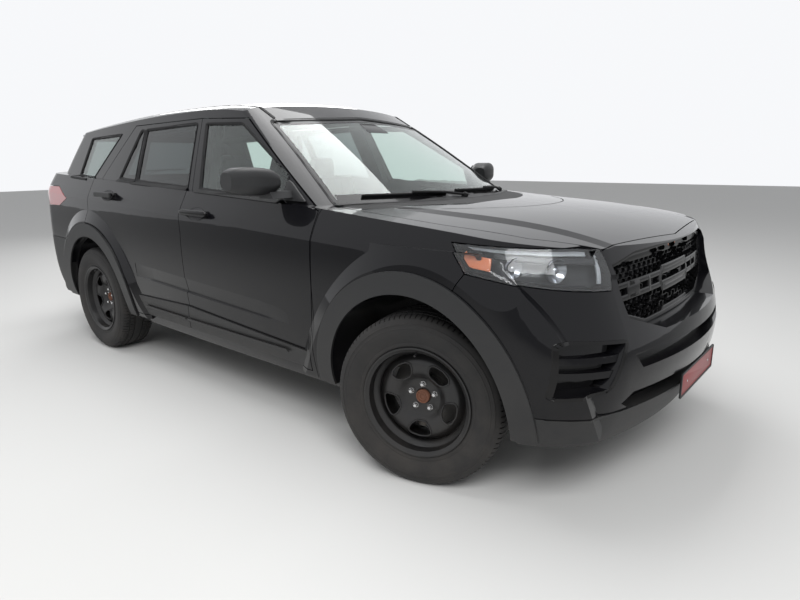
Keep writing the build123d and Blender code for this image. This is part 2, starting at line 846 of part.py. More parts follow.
def tyre():
    """Bead, sidewall, shoulder and tread, the same on both sides."""
    half, bead_y = tyre_width / 2, rim_width / 2 - 0.5
    outer_half = [
        (tyre_radius, half - 60), (tyre_radius - 4, half - 34), (tyre_radius - 22, half - 12),
        (tyre_seat_radius + 90, half), (tyre_seat_radius + 40, half - 6),
        (rim_flange_radius + 3, bead_y), (tyre_seat_radius, bead_y),
    ]
    return revolved([(radius, -y) for radius, y in outer_half[::-1]] + outer_half)


def rim():
    """Steel wheel, outer side towards +Y: barrel, dished disc with five windows, hub."""
    half = rim_width / 2
    seat, well = tyre_seat_radius, tyre_seat_radius - 22
    shape = revolved([
        (seat, -half), (seat, -half + 40), (well, -half + 60), (well, half - 60), (seat, half - 40),
        (seat, half), (rim_flange_radius, half), (rim_flange_radius, half + 8), (seat - 8, half + 8),
        (seat - 8, half - 40), (well - 8, half - 58), (well - 8, -half + 58), (seat - 8, -half + 42),
        (seat - 8, -half - 8), (rim_flange_radius, -half - 8), (rim_flange_radius, -half),
    ])
    disc = revolved([
        (0, 22), (78, 22), (112, 62), (150, 66), (190, 44), (well - 6, 34), (well - 6, 26),
        (190, 36), (150, 58), (116, 54), (84, 10), (0, 10),
    ])
    step = 360 / disc_windows
    slot = extrude(SlotOverall(window_length, window_width), 60, both=True)
    nut = Cylinder(nut_radius, nut_length)
    for i in range(disc_windows):
        disc = disc - Rot(0, step * i, 0) * Pos(0, 40, window_radius) * Rot(90, 0, 0) * slot
        disc = disc + Rot(0, step * (i + 0.5), 0) * Pos(0, 31, nut_circle_radius) * Rot(90, 0, 0) * nut
    hub = revolved([(0, -60), (hub_radius, -60), (hub_radius, 10.5), (0, 10.5)])
    cap = revolved([(0, 21.5), (hub_cap_radius, 21.5), (hub_cap_radius, 52), (0, 52)])
    return shape + disc + hub + cap


def knuckle():
    """Steered upright with its spindle and lower ball joint, outer side towards +Y."""
    spindle = revolved([(0, -150), (spindle_radius, -150), (spindle_radius, -60.3), (0, -60.3)])
    upright = Pos(0, -upright_y, 37.5) * fillet(Box(*upright_size).edges().filter_by(Axis.Z), upright_corner)
    bridge = box_between((-25, -upright_y, -100), (25, 0, -80))
    joint_z = arm_top_z + seat_clearance - tyre_radius
    foot = Pos(0, 0, (joint_z - 97) / 2) * Cylinder(18, -97 - joint_z)
    return spindle + upright + bridge + foot


def placed_wheel(shape, axle, side, turned):
    """A left wheel piece (outer side +Y) set on its axle."""
    x = front_axle_x if axle == "front" else rear_axle_x
    piece = shape if side == "left" else Rot(0, 0, 180) * shape
    turn = steer_angle if turned else 0
    return Pos(x, (1 if side == "left" else -1) * track / 2, tyre_radius) * Rot(0, 0, turn) * piece


def subframe(x, length_x):
    """A cross member hung under the rails."""
    top = rail_bottom_z - seat_clearance
    return box_between((x - length_x / 2, -rail_outer_y, top - subframe_depth),
                       (x + length_x / 2, rail_outer_y, top))


def rear_axle():
    """Subframe, arms, hub carriers and stub axles behind."""
    shape = subframe(rear_axle_x, rear_subframe_length)
    arm_length, arm_low_z, arm_high_z = rear_arm_size
    carrier_y = track / 2 - upright_y
    for side in (1, -1):
        arm_span = sorted((side * (rail_outer_y - 20), side * (carrier_y + 10)))
        shape = shape + box_between((rear_axle_x - arm_length / 2, arm_span[0], arm_low_z),
                                    (rear_axle_x + arm_length / 2, arm_span[1], arm_high_z))
        shape = shape + Pos(rear_axle_x, side * carrier_y, tyre_radius) * Box(*carrier_size)
        stub = Rot(90, 0, 0) * Cylinder(spindle_radius, 99.4)
        shape = shape + Pos(rear_axle_x, side * (track / 2 - 110), tyre_radius) * stub
    return shape


def front_axle():
    """Subframe with the lower arms that carry the steered knuckles."""
    shape = subframe(front_axle_x - 40, front_subframe_length)
    for side in (1, -1):
        arm_span = sorted((side * (rail_outer_y - 20), side * track / 2))
        shape = shape + box_between((front_axle_x - arm_width / 2, arm_span[0], arm_top_z - arm_depth),
                                    (front_axle_x + arm_width / 2, arm_span[1], arm_top_z))
        socket = Cylinder(joint_radius, arm_depth)
        shape = shape + Pos(front_axle_x, side * track / 2, arm_top_z - arm_depth / 2) * socket
    return shape


def engine():
    """A plain block with a foot on each rail."""
    x = front_axle_x + 60
    shape = Pos(x, 0, engine_centre_z) * Box(*engine_size)
    for side in (1, -1):
        foot = sorted((side * (engine_size[1] / 2 - 10), side * (rail_outer_y - 10)))
        shape = shape + box_between((x - engine_foot_length / 2, foot[0], rail_top_z + seat_clearance),
                                    (x + engine_foot_length / 2, foot[1], engine_foot_top_z))
    return shape


def dashboard():
    """Instrument panel, from the firewall into the cabin, and the console behind it."""
    rear, front = firewall_x - dash_depth, firewall_x - seat_clearance
    half = console_half_width
    panel = box_between((rear, -dash_half_width, dash_bottom_z), (front, dash_half_width, dash_top_z))
    panel = fillet(panel.edges().filter_by(Axis.Y), dash_corner)
    console = box_between((console_rear_x, -half, floor_z + seat_clearance), (rear + 60, half, console_top_z))
    console = fillet(console.edges().filter_by(Axis.X), dash_corner / 2)
    stack = box_between((rear - 20, -half, console_top_z - 90), (rear + 80, half, dash_bottom_z + 40))
    return panel + console + stack


def steering_wheel():
    """Rim, hub and spokes on a column that ends at the instrument panel."""
    ring = Solid.make_torus(wheel_ring_radius, wheel_ring_tube)
    hub = Cylinder(wheel_hub_radius, 40)
    spokes = Box(340, 40, 18) + Pos(0, -85, 0) * Box(40, 170, 18)
    column = Pos(0, 0, -column_length / 2) * Cylinder(column_radius, column_length)
    tilted = Pos(*wheel_place) * Rot(0, -wheel_tilt, 0) * Rot(0, 0, -90) * (ring + hub + spokes + column)
    ahead = box_between((firewall_x - dash_depth - seat_clearance, 0, 700), (1200, 800, 1200))
    return largest(tilted - ahead)


def grille():
    """A plate behind the mesh, with a double bar and an empty six-sided frame."""
    plate = end_block(grille_face, 2100, 2700) & grille_front(grille_x)
    inner = [(y * (1 - badge_frame_width / abs(badge_frame[0][0])),
              badge_frame[0][1] + (z - badge_frame[0][1]) * (1 - 2 * badge_frame_width / 112))
             for y, z in badge_frame]
    proud = [end_block(bar, 2100, 2700) for bar in grille_bars] + [end_block(badge_frame, 2100, 2700)]
    for block in proud:
        plate = plate + (block & grille_front(grille_x + bar_proud))
    plate = plate - (end_block(inner, 2100, 2700) - grille_front(grille_x))
    return plate - grille_front(grille_x - grille_depth)


def front_plate():
    """A blank number plate on a bracket that stands on the bumper."""
    depth, width, height = front_plate_size
    plate = Pos(front_x - depth, 0, front_plate_z) * Box(depth, width, height)
    reach, bracket_width, bracket_height = front_plate_bracket_size
    bracket_x = front_x - 1.5 * depth - reach / 2
    bracket = Pos(bracket_x, 0, front_plate_bracket_z) * Box(reach, bracket_width, bracket_height)
    return largest(plate + bracket - Pos(seat_clearance, 0, 0) * body)


def seats(x, widths, back_z):
    houses = rear_houses(20)
    seat_room = houses + mirrored(houses)
    shape = []
    for y, w in widths:
        cushion = fillet(Box(cushion_depth, w, cushion_height).edges(), seat_corner)
        cushion = Pos(x, y, cushion_centre_z) * cushion
        back = fillet(Box(back_depth, w - 20, back_height).edges(), seat_corner)
        back = Pos(x - 300, y, 960) * Rot(0, -back_lean, 0) * back
        head = Pos(x - 415, y, back_z) * fillet(Box(*head_size).edges(), seat_corner - 5)
        base = Box(400, w - 120, seat_base_top_z - floor_z)
        base = Pos(x, y, (floor_z + seat_base_top_z) / 2) * base
        post = Pos(x - 400, y, back_z - 110) * Rot(0, -back_lean, 0) * Box(16, 120, 130)
        shape.append(largest((cushion + back + head + base + post) - seat_room))
    return Compound(shape)


def main():
    panels, skin = split_shell()
    for side, make in (("right", lambda s: s), ("left", mirrored)):
        save(f"front_door_{side}", make(front_door(panels["front_door"])))
        save(f"rear_door_{side}", make(rear_door(panels["rear_door"])))
        save(f"front_door_glass_{side}", make(door_glass([front_window])))
        save(f"rear_door_glass_{side}", make(door_glass([rear_window, rear_vent])))
        for name, block in (("front", front_door_block()), ("rear", rear_door_block())):
            pieces = [cladding(block, skin), handle(*handle_places[name], panels[name + "_door"])]
            save(f"{name}_door_trim_{side}", make(Compound(pieces)))
        save(f"mirror_{side}", make(largest(mirror_piece() - panels["front_door"])))
    for name, half in (("hood", hood(panels["hood"])), ("liftgate", liftgate(panels["liftgate"]))):
        save(name, half + mirrored(half))
    save("liftgate_glass", sheet & gate_glass_block)
    fixed = [sheet & screen_block, door_glass([quarter_window]), mirrored(door_glass([quarter_window]))]
    save("fixed_glass", Compound([s for g in fixed for s in g.solids()]))
    for name in ("headlamp", "tail_lamp", "fender", "gate_lamp"):
        save(name + "s", both(panels[name]))
    for name in ("front_valance", "front_bumper", "rear_bumper", "roof", "underbody", "body_sides"):
        save(name, panels[name] + mirrored(panels[name]))
    save("arch_trims", Compound([s for t in arch_trims(skin) for s in (t, mirrored(t))]))
    tyre_shape, rim_shape, knuckle_shape = tyre(), rim(), knuckle()
    for axle in ("front", "rear"):
        for side in ("left", "right"):
            save(f"tyre_{axle}_{side}", placed_wheel(tyre_shape, axle, side, axle == "front"))
            save(f"rim_{axle}_{side}", placed_wheel(rim_shape, axle, side, axle == "front"))
    for side in ("left", "right"):
        save(f"knuckle_{side}", placed_wheel(knuckle_shape, "front", side, True))
    save("rear_suspension", rear_axle())
    save("front_suspension", front_axle())
    for name, make in (("grille", grille), ("front_plate", front_plate), ("dashboard", dashboard),
                       ("steering_wheel", steering_wheel), ("engine_block", engine)):
        save(name, make())
    front_pair = [(-front_seat_y, front_seat_width), (front_seat_y, front_seat_width)]
    save("front_seats", seats(front_seat_x, front_pair, front_head_z))
    save("rear_seats", seats(rear_seat_x, [(0, rear_seat_width)], rear_head_z))


main()
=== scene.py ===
import bpy
import bmesh
import json
import math
from mathutils import Matrix, Vector
from mathutils.bvhtree import BVHTree


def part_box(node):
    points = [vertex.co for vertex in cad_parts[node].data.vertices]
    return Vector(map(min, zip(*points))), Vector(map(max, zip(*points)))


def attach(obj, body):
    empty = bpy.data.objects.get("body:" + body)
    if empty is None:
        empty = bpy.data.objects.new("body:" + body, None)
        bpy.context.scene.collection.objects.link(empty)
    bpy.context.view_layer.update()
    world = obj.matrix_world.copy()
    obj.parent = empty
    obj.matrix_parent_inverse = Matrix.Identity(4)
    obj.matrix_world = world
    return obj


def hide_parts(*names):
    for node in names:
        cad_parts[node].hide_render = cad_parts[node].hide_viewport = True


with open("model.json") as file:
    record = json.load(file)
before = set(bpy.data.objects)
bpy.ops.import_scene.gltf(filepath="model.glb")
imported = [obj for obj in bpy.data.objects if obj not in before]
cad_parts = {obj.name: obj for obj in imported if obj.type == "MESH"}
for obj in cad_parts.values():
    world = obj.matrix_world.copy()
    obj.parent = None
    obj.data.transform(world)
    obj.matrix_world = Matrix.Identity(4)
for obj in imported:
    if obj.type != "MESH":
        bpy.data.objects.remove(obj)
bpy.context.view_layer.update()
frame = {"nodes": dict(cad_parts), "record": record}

# A black five-door police utility car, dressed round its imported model.
# Metres, +X forward, +Y left, +Z up.

nodes = frame["nodes"]
sides = {"left": 1, "right": -1}


# Node tools

def linkNodes(tree, start, startSocket, end, endSocket):
    tree.links.new(start.outputs[startSocket], end.inputs[endSocket])


def addNode(tree, kind, place=(0, 0), **settings):
    node = tree.nodes.new(kind)
    node.location = place
    for name, value in settings.items():
        setattr(node, name, value)
    return node


def newGroup(name, inputs, outputs):
    group = bpy.data.node_groups.new(name, "ShaderNodeTree")
    for socketName, kind, value in inputs:
        socket = group.interface.new_socket(name=socketName, in_out="INPUT", socket_type=kind)
        if value is not None:
            socket.default_value = value
    for socketName, kind in outputs:
        group.interface.new_socket(name=socketName, in_out="OUTPUT", socket_type=kind)
    return group, addNode(group, "NodeGroupInput", (-600, 0)), addNode(group, "NodeGroupOutput", (600, 0))


def newMaterial(name, **values):
    material = bpy.data.materials.new(name)
    material.use_nodes = True
    tree = material.node_tree
    shader = tree.nodes["Principled BSDF"]
    for socketName, value in values.items():
        shader.inputs[socketName.replace("_", " ")].default_value = value
    return material, tree, shader


# Shared effects

# Road dust, with more of it low down
def makeDustFilm():
    group, given, out = newGroup(
        "roadDust",
        [("Clean Color", "NodeSocketColor", (0.02, 0.02, 0.02, 1)),
         ("Dust Color", "NodeSocketColor", (0.23, 0.2, 0.17, 1)),
         ("Amount", "NodeSocketFloat", 0.3),
         ("Height", "NodeSocketFloat", 0.5)],
        [("Color", "NodeSocketColor"), ("Mask", "NodeSocketFloat")])
    coords = addNode(group, "ShaderNodeTexCoord", (-600, -300))
    split = addNode(group, "ShaderNodeSeparateXYZ", (-400, -300))
    low = addNode(group, "ShaderNodeMath", (-200, -300), operation="DIVIDE")
    turned = addNode(group, "ShaderNodeMath", (-40, -300), operation="SUBTRACT", use_clamp=True)
    turned.inputs[0].default_value = 1.0
    noise = addNode(group, "ShaderNodeTexNoise", (-400, -520))
    noise.inputs["Scale"].default_value = 5.0
    noise.inputs["Detail"].default_value = 9.0
    noise.inputs["Roughness"].default_value = 0.68
    patches = addNode(group, "ShaderNodeMapRange", (-200, -520))
    patches.inputs["From Min"].default_value = 0.35
    patches.inputs["From Max"].default_value = 0.72
    worn = addNode(group, "ShaderNodeMath", (100, -400), operation="MULTIPLY")
    amount = addNode(group, "ShaderNodeMath", (250, -300), operation="MULTIPLY", use_clamp=True)
    mix = addNode(group, "ShaderNodeMix", (400, 0), data_type="RGBA")
    linkNodes(group, coords, "Object", split, 0)
    linkNodes(group, coords, "Object", noise, "Vector")
    linkNodes(group, split, "Z", low, 0)
    linkNodes(group, given, "Height", low, 1)
    linkNodes(group, low, 0, turned, 1)
    linkNodes(group, noise, "Fac", patches, "Value")
    linkNodes(group, turned, 0, worn, 0)
    linkNodes(group, patches, "Result", worn, 1)
    linkNodes(group, worn, 0, amount, 0)
    linkNodes(group, given, "Amount", amount, 1)
    linkNodes(group, amount, 0, mix, "Factor")
    linkNodes(group, given, "Clean Color", mix, 6)
    linkNodes(group, given, "Dust Color", mix, 7)
    linkNodes(group, mix, 2, out, "Color")
    linkNodes(group, amount, 0, out, "Mask")
    return group


# Fine moulded or cast grain as a height
def makeGrain():
    group, given, out = newGroup("fineGrain", [("Scale", "NodeSocketFloat", 900.0)],
                                 [("Height", "NodeSocketFloat")])
    coords = addNode(group, "ShaderNodeTexCoord", (-600, -300))
    fine = addNode(group, "ShaderNodeTexNoise", (-200, 0))
    fine.inputs["Detail"].default_value = 3.0
    linkNodes(group, coords, "Object", fine, "Vector")
    linkNodes(group, given, "Scale", fine, "Scale")
    linkNodes(group, fine, "Fac", out, "Height")
    return group


dustFilm = makeDustFilm()
fineGrain = makeGrain()


# A finish with road dust over it and, if asked, a grain bump
def dustyFinish(name, color, roughness, dust, grain=None, dustHeight=0.9, **values):
    material, tree, shader = newMaterial(name, **values)
    film = addNode(tree, "ShaderNodeGroup", (-500, 200), node_tree=dustFilm)
    film.inputs["Clean Color"].default_value = (*color, 1)
    film.inputs["Amount"].default_value = dust
    film.inputs["Height"].default_value = dustHeight
    linkNodes(tree, film, "Color", shader, "Base Color")
    rough = addNode(tree, "ShaderNodeMapRange", (-250, -50))
    rough.inputs["To Min"].default_value = roughness
    rough.inputs["To Max"].default_value = min(roughness + 0.5, 0.95)
    linkNodes(tree, film, "Mask", rough, "Value")
    linkNodes(tree, rough, "Result", shader, "Roughness")
    if grain:
        texture = addNode(tree, "ShaderNodeGroup", (-500, -300), node_tree=fineGrain)
        scale, strength, depth = grain
        texture.inputs["Scale"].default_value = scale
        bump = addNode(tree, "ShaderNodeBump", (-250, -300))
        bump.inputs["Strength"].default_value = strength
        bump.inputs["Distance"].default_value = depth
        linkNodes(tree, texture, "Height", bump, "Height")
        linkNodes(tree, bump, "Normal", shader, "Normal")
    return material


clearValues = {"IOR": 1.45, "Transmission_Weight": 1.0}

# Material name, colour, roughness, dust, grain as scale, strength and depth, and further shader values
finishLooks = {
    "body_paint": ("blackGlossPaint", (0.0035, 0.0035, 0.0045), 0.3, 0.05, (5, 0.05, 0.002),
                   {"dustHeight": 0.8, "Specular_IOR_Level": 0.05, "Coat_Weight": 0.8, "Coat_Roughness": 0.015,
                    "Coat_IOR": 1.36}),
    "trim_plastic": ("greyBlackPlastic", (0.010, 0.0103, 0.011), 0.48, 0.09, (1100, 0.35, 0.0006), {}),
    "gloss_plastic": ("glossBlackPlastic", (0.005, 0.005, 0.0055), 0.2, 0.07, (700, 0.03, 0.0004),
                      {"Specular_IOR_Level": 0.12, "Coat_Weight": 0.2}),
    "window_glass": ("greenGlass", (0.72, 0.82, 0.78), 0.0, 0.06, None, clearValues),
    "dark_glass": ("darkGlass", (0.2, 0.23, 0.23), 0.0, 0.06, None, clearValues),
    "lamp_clear": ("lampLens", (0.93, 0.95, 0.96), 0.0, 0.06, None, clearValues),
    "lamp_red": ("redLens", (0.3, 0.006, 0.008), 0.12, 0.1, None, {"Coat_Weight": 1.0}),
    "tyre_rubber": ("tyreRubber", (0.010, 0.010, 0.0105), 0.74, 0.14, (500, 0.3, 0.0008), {"dustHeight": 1.1}),
    "wheel_steel": ("blackSteelPaint", (0.006, 0.006, 0.0065), 0.36, 0.07, (300, 0.15, 0.0006),
                    {"dustHeight": 1.0}),
    "cast_metal": ("castMetal", (0.06, 0.058, 0.055), 0.6, 0.6, (350, 0.5, 0.001), {"Metallic": 0.6}),
    "floor_steel": ("floorCoating", (0.015, 0.015, 0.016), 0.7, 0.5, (200, 0.4, 0.001), {}),
    "cabin_plastic": ("cabinPlastic", (0.022, 0.022, 0.024), 0.6, 0.0, (900, 0.4, 0.0006), {}),
    "seat_cloth": ("seatCloth", (0.03, 0.03, 0.033), 0.85, 0.0, (1200, 0.6, 0.001), {}),
    "seal_rubber": ("sealRubber", (0.006, 0.006, 0.0065), 0.62, 0.04, (800, 0.2, 0.0004),
                    {"Specular_IOR_Level": 0.3}),
    "seat_piping": ("seatPiping", (0.012, 0.012, 0.013), 0.7, 0.0, (1500, 0.3, 0.0004), {}),
    "rusty_steel": ("rustySteel", (0.16, 0.062, 0.035), 0.75, 0.3, (260, 0.8, 0.0015), {"Metallic": 0.35}),
    "brake_iron": ("brakeIron", (0.17, 0.165, 0.16), 0.42, 0.15, (600, 0.2, 0.0004), {"Metallic": 0.9}),
    "lamp_dark": ("lampHousing", (0.02, 0.021, 0.023), 0.35, 0.0, (500, 0.2, 0.0005), {"Metallic": 0.3}),
    "lamp_grey": ("lampLightBar", (0.42, 0.44, 0.46), 0.3, 0.0, (240, 0.3, 0.001), {}),
    "lamp_bright": ("lampReflector", (0.30, 0.31, 0.33), 0.16, 0.0, (90, 0.4, 0.002), {"Metallic": 1.0}),
    "amber_lens": ("amberReflector", (0.62, 0.16, 0.05), 0.25, 0.0, (420, 0.8, 0.001), {"Coat_Weight": 0.6}),
    "mirror_glass": ("mirrorGlass", (0.8, 0.82, 0.84), 0.02, 0.0, None, {"Metallic": 1.0}),
    "lug_chrome": ("lugChrome", (0.6, 0.6, 0.6), 0.2, 0.2, None, {"Metallic": 1.0}),
    "plate_metal": ("redPlate", (0.24, 0.010, 0.012), 0.35, 0.1, None, {}),
}
finishes = {slotName: dustyFinish(*look, **values) for slotName, (*look, values) in finishLooks.items()}
print("finishes:", len(finishes))


def setFinish(piece, material):
    piece.data.materials.clear()
    piece.data.materials.append(material)


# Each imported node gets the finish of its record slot
def dressFrame():
    for entry in frame["record"]["subparts"]:
        setFinish(nodes[entry["node"]], finishes[entry["material_slot"]])
    for name in ("rear_door_glass_left", "rear_door_glass_right", "liftgate_glass"):
        setFinish(nodes[name], finishes["dark_glass"])
    print("frame dressed:", len(nodes))


# Mesh tools

def linkPiece(name, mesh, material, body, slotName):
    piece = bpy.data.objects.new(name, mesh)
    bpy.context.scene.collection.objects.link(piece)
    mesh.materials.clear()
    mesh.materials.append(material)
    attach(piece, body)
    return piece


def closeMesh(bm, name, smoothDeg=32, weld=0.00004):
    bmesh.ops.remove_doubles(bm, verts=bm.verts, dist=weld)
    bmesh.ops.recalc_face_normals(bm, faces=bm.faces)
    mesh = bpy.data.meshes.new(name)
    bm.to_mesh(mesh)
    bm.free()
    mesh.shade_smooth()
    mesh.set_sharp_from_angle(angle=math.radians(smoothDeg))
    return mesh


# A piece gets the given finish and rides on the root, unless told otherwise
def makePiece(name, bm, finish, body="root", slotName=None, smoothDeg=32):
    return linkPiece(name, closeMesh(bm, name, smoothDeg), finishes[finish], body, slotName or finish)


def applyModifiers(piece, smoothDeg=32):
    graph = bpy.context.evaluated_depsgraph_get()
    mesh = bpy.data.meshes.new_from_object(piece.evaluated_get(graph))
    piece.modifiers.clear()
    piece.data = mesh
    mesh.shade_smooth()
    mesh.set_sharp_from_angle(angle=math.radians(smoothDeg))


def allGeom(bm):
    return list(bm.verts) + list(bm.edges) + list(bm.faces)


def movedVerts(made):
    return [item for item in made["geom"] if isinstance(item, bmesh.types.BMVert)]


def extrudeBy(bm, faces, step):
    made = bmesh.ops.extrude_face_region(bm, geom=faces)
    bmesh.ops.translate(bm, verts=movedVerts(made), vec=step)


def roundOff(bm, geom, offset, segments=2, affect="EDGES", **values):
    bmesh.ops.bevel(bm, geom=geom, offset=offset, segments=segments, profile=0.5, affect=affect, material=-1,
                    **values)


def sharpEdges(bm, turn=0.9):
    return [edge for edge in bm.edges if len(edge.link_faces) == 2 and edge.calc_face_angle() > turn]


def leaveRing(bm, width):
    middle = list(bm.faces)
    bmesh.ops.inset_region(bm, faces=middle, thickness=width, use_even_offset=True, use_boundary=True)
    bmesh.ops.delete(bm, geom=middle, context="FACES")


def addBox(bm, low, high, bevel, segments=2):
    low, high = Vector(low), Vector(high)
    place = Matrix.Translation((low + high) / 2) @ Matrix.Diagonal((*(high - low), 1))
    made = bmesh.ops.create_cube(bm, size=1.0, matrix=place)
    edges = list({edge for vert in made["verts"] for edge in vert.link_edges})
    roundOff(bm, edges, bevel, segments)


def addSpun(bm, profile, steps=64, closed=False):
    verts = [bm.verts.new((radius, along, 0)) for radius, along in profile]
    ends = verts[1:] + verts[:1] if closed else verts[1:]
    edges = [bm.edges.new(pair) for pair in zip(verts, ends)]
    bmesh.ops.spin(bm, geom=verts + edges, cent=(0, 0, 0), axis=(0, 1, 0), angle=2 * math.pi, steps=steps,
                   use_merge=True)


# One bmesh copied into another, at a place if one is given
def joinInto(bm, work, place=None):
    if place:
        bmesh.ops.transform(work, matrix=place, verts=work.verts)
    mesh = bpy.data.meshes.new("part")
    work.to_mesh(mesh)
    work.free()
    bm.from_mesh(mesh)
    bpy.data.meshes.remove(mesh)


# A point of a flat outline, at a distance along the axis that it lies across
flatPoint = {"x": lambda at, a, b: (at, a, b), "y": lambda at, a, b: (a, at, b),
             "z": lambda at, a, b: (a, b, at)}


def rectangle(a0, a1, b0, b1):
    return [(a0, b0), (a1, b0), (a1, b1), (a0, b1)]


# A plate with a flat outline, across one axis; ring leaves only its border
def addPlate(bm, outline, low, high, axis="x", corner=0.0, edge=0.0, ring=0.0):
    work = bmesh.new()
    verts = [work.verts.new(flatPoint[axis](low, a, b)) for a, b in outline]
    work.faces.new(verts)
    if corner:
        roundOff(work, verts, corner, 4, "VERTICES")
    if ring:
        leaveRing(work, ring)
    extrudeBy(work, list(work.faces), flatPoint[axis](high - low, 0, 0))
    if edge:
        roundOff(work, sharpEdges(work), edge)
    bmesh.ops.recalc_face_normals(work, faces=work.faces)
    joinInto(bm, work)


# Where rays start, well clear of the car
rayFrom = {"side": 1.4, "nose": 3.2, "tail": -3.2, "screen": 2.0, "above": 2.4, "cowl": 2.2, "mirror": 0.2}


# A thin sheet with a flat outline, laid on a surface along a ray
def addDraped(bm, outline, tree, start, ray, lift, thickness, grid, corner=0.0, ring=0.0, edge=0.0):
    work = bmesh.new()
    ray = Vector(ray)
    main = max("xyz", key=lambda axis: abs(getattr(ray, axis)))
    verts = [work.verts.new(flatPoint[main](start, a, b)) for a, b in outline]
    work.faces.new(verts)
    if corner:
        roundOff(work, verts, corner, 5, "VERTICES", clamp_overlap=True)
    if ring:
        leaveRing(work, ring)
    for axis in "xyz".replace(main, ""):
        cutEvery(work, axis, grid)
    lost = []
    for vert in work.verts:
        hit, normal, index, reach = tree.ray_cast(vert.co, ray, 3.0)
        if hit:
            vert.co = hit - ray * lift
        else:
            lost.append(vert)
    bmesh.ops.delete(work, geom=lost, context="VERTS")
    bmesh.ops.recalc_face_normals(work, faces=work.faces)
    if work.faces and sum(face.normal.dot(ray) * face.calc_area() for face in work.faces) > 0:
        bmesh.ops.reverse_faces(work, faces=work.faces)
    extrudeBy(work, list(work.faces), -ray * thickness)
    bmesh.ops.recalc_face_normals(work, faces=work.faces)
    if edge:
        roundOff(work, sharpEdges(work), edge, clamp_overlap=True)
    joinInto(bm, work)


# Loop cuts across an axis, so that long faces can follow a curve
def cutEvery(bm, axis, step):
    normal = {"x": Vector((1, 0, 0)), "y": Vector((0, 1, 0)), "z": Vector((0, 0, 1))}[axis]
    along = [vert.co.dot(normal) for vert in bm.verts]
    first, last = math.ceil(min(along) / step), math.floor(max(along) / step)
    for k in range(first, last + 1):
        bmesh.ops.bisect_plane(bm, geom=allGeom(bm), dist=0.00001, plane_co=normal * k * step,
                               plane_no=normal)


def tubeMesh(points, radius, closed=False, smooth=True, sides=3):
    curve = bpy.data.curves.new("tube", "CURVE")
    curve.dimensions = "3D"
    curve.bevel_depth = radius
    curve.bevel_resolution = sides
    curve.use_fill_caps = True
    spline = curve.splines.new("NURBS" if smooth else "POLY")
    spline.points.add(len(points) - 1)
    for place, point in zip(spline.points, points):
        place.co = (*point, 1)
    spline.use_cyclic_u = closed
    if smooth:
        spline.order_u = 3
        spline.use_endpoint_u = not closed
        spline.resolution_u = 3
    holder = bpy.data.objects.new("tube", curve)
    mesh = bpy.data.meshes.new_from_object(holder)
    bpy.data.objects.remove(holder)
    bpy.data.curves.remove(curve)
    return mesh


def addTube(bm, points, radius, closed=False, smooth=True, sides=3):
    mesh = tubeMesh(points, radius, closed, smooth, sides)
    bm.from_mesh(mesh)
    bpy.data.meshes.remove(mesh)


def nodeTree(*names):
    bm = bmesh.new()
    for name in names:
        bm.from_mesh(nodes[name].data)
    tree = BVHTree.FromBMesh(bm)
    bm.free()
    return tree


shellNames = ["body_sides", "fenders", "front_bumper", "rear_bumper", "hood", "roof", "liftgate",
              "front_valance", "headlamps", "tail_lamps", "gate_lamps", "fixed_glass", "liftgate_glass"]
for side in sides:
    shellNames += [f"{name}_{side}"
                   for name in ("front_door", "rear_door", "front_door_glass", "rear_door_glass")]
shellTree = nodeTree(*shellNames)


# The point of a surface that a ray meets, lifted along the surface's normal
def skinPoint(tree, start, ray, lift=0.0):
    hit, normal, index, reach = tree.ray_cast(Vector(start), Vector(ray))
    return hit + normal * lift if hit else None


def fillPath(corners, step=0.05, closed=False):
    places = []
    pairs = list(zip(corners, corners[1:] + corners[:1])) if closed else list(zip(corners, corners[1:]))
    for start, end in pairs:
        gap = math.dist(start, end)
        count = max(1, round(gap / step))
        for k in range(count):
            t = k / count
            places.append(tuple(a + (b - a) * t for a, b in zip(start, end)))
    if not closed:
        places.append(corners[-1])
    return places


# Wheels

tyre = {
    "pitches": 96,
    "grooveDeg": 0.8,
    "grooveDepth": 0.0065,
    "halfProfile": [
        (0.242, 0.106), (0.247, 0.112), (0.253, 0.1155), (0.260, 0.116), (0.266, 0.1148),
        (0.271, 0.117), (0.288, 0.1228), (0.308, 0.1266), (0.322, 0.1274), (0.3255, 0.1268),
        (0.327, 0.1276), (0.331, 0.1276), (0.3325, 0.1262), (0.344, 0.1236), (0.3455, 0.1248),
        (0.349, 0.1238), (0.3505, 0.1214), (0.360, 0.1165), (0.368, 0.1105), (0.3745, 0.103),
        (0.3785, 0.095), (0.3803, 0.088), (0.3808, 0.0715), (0.3735, 0.0695), (0.3735, 0.0635),
        (0.3812, 0.0615), (0.3814, 0.034), (0.3735, 0.0322), (0.3735, 0.0258), (0.3815, 0.024)],
    "shoulderBand": (0.072, 0.112),
    "middleBand": (0.035, 0.061),
    "treadFoot": 0.3655,
}
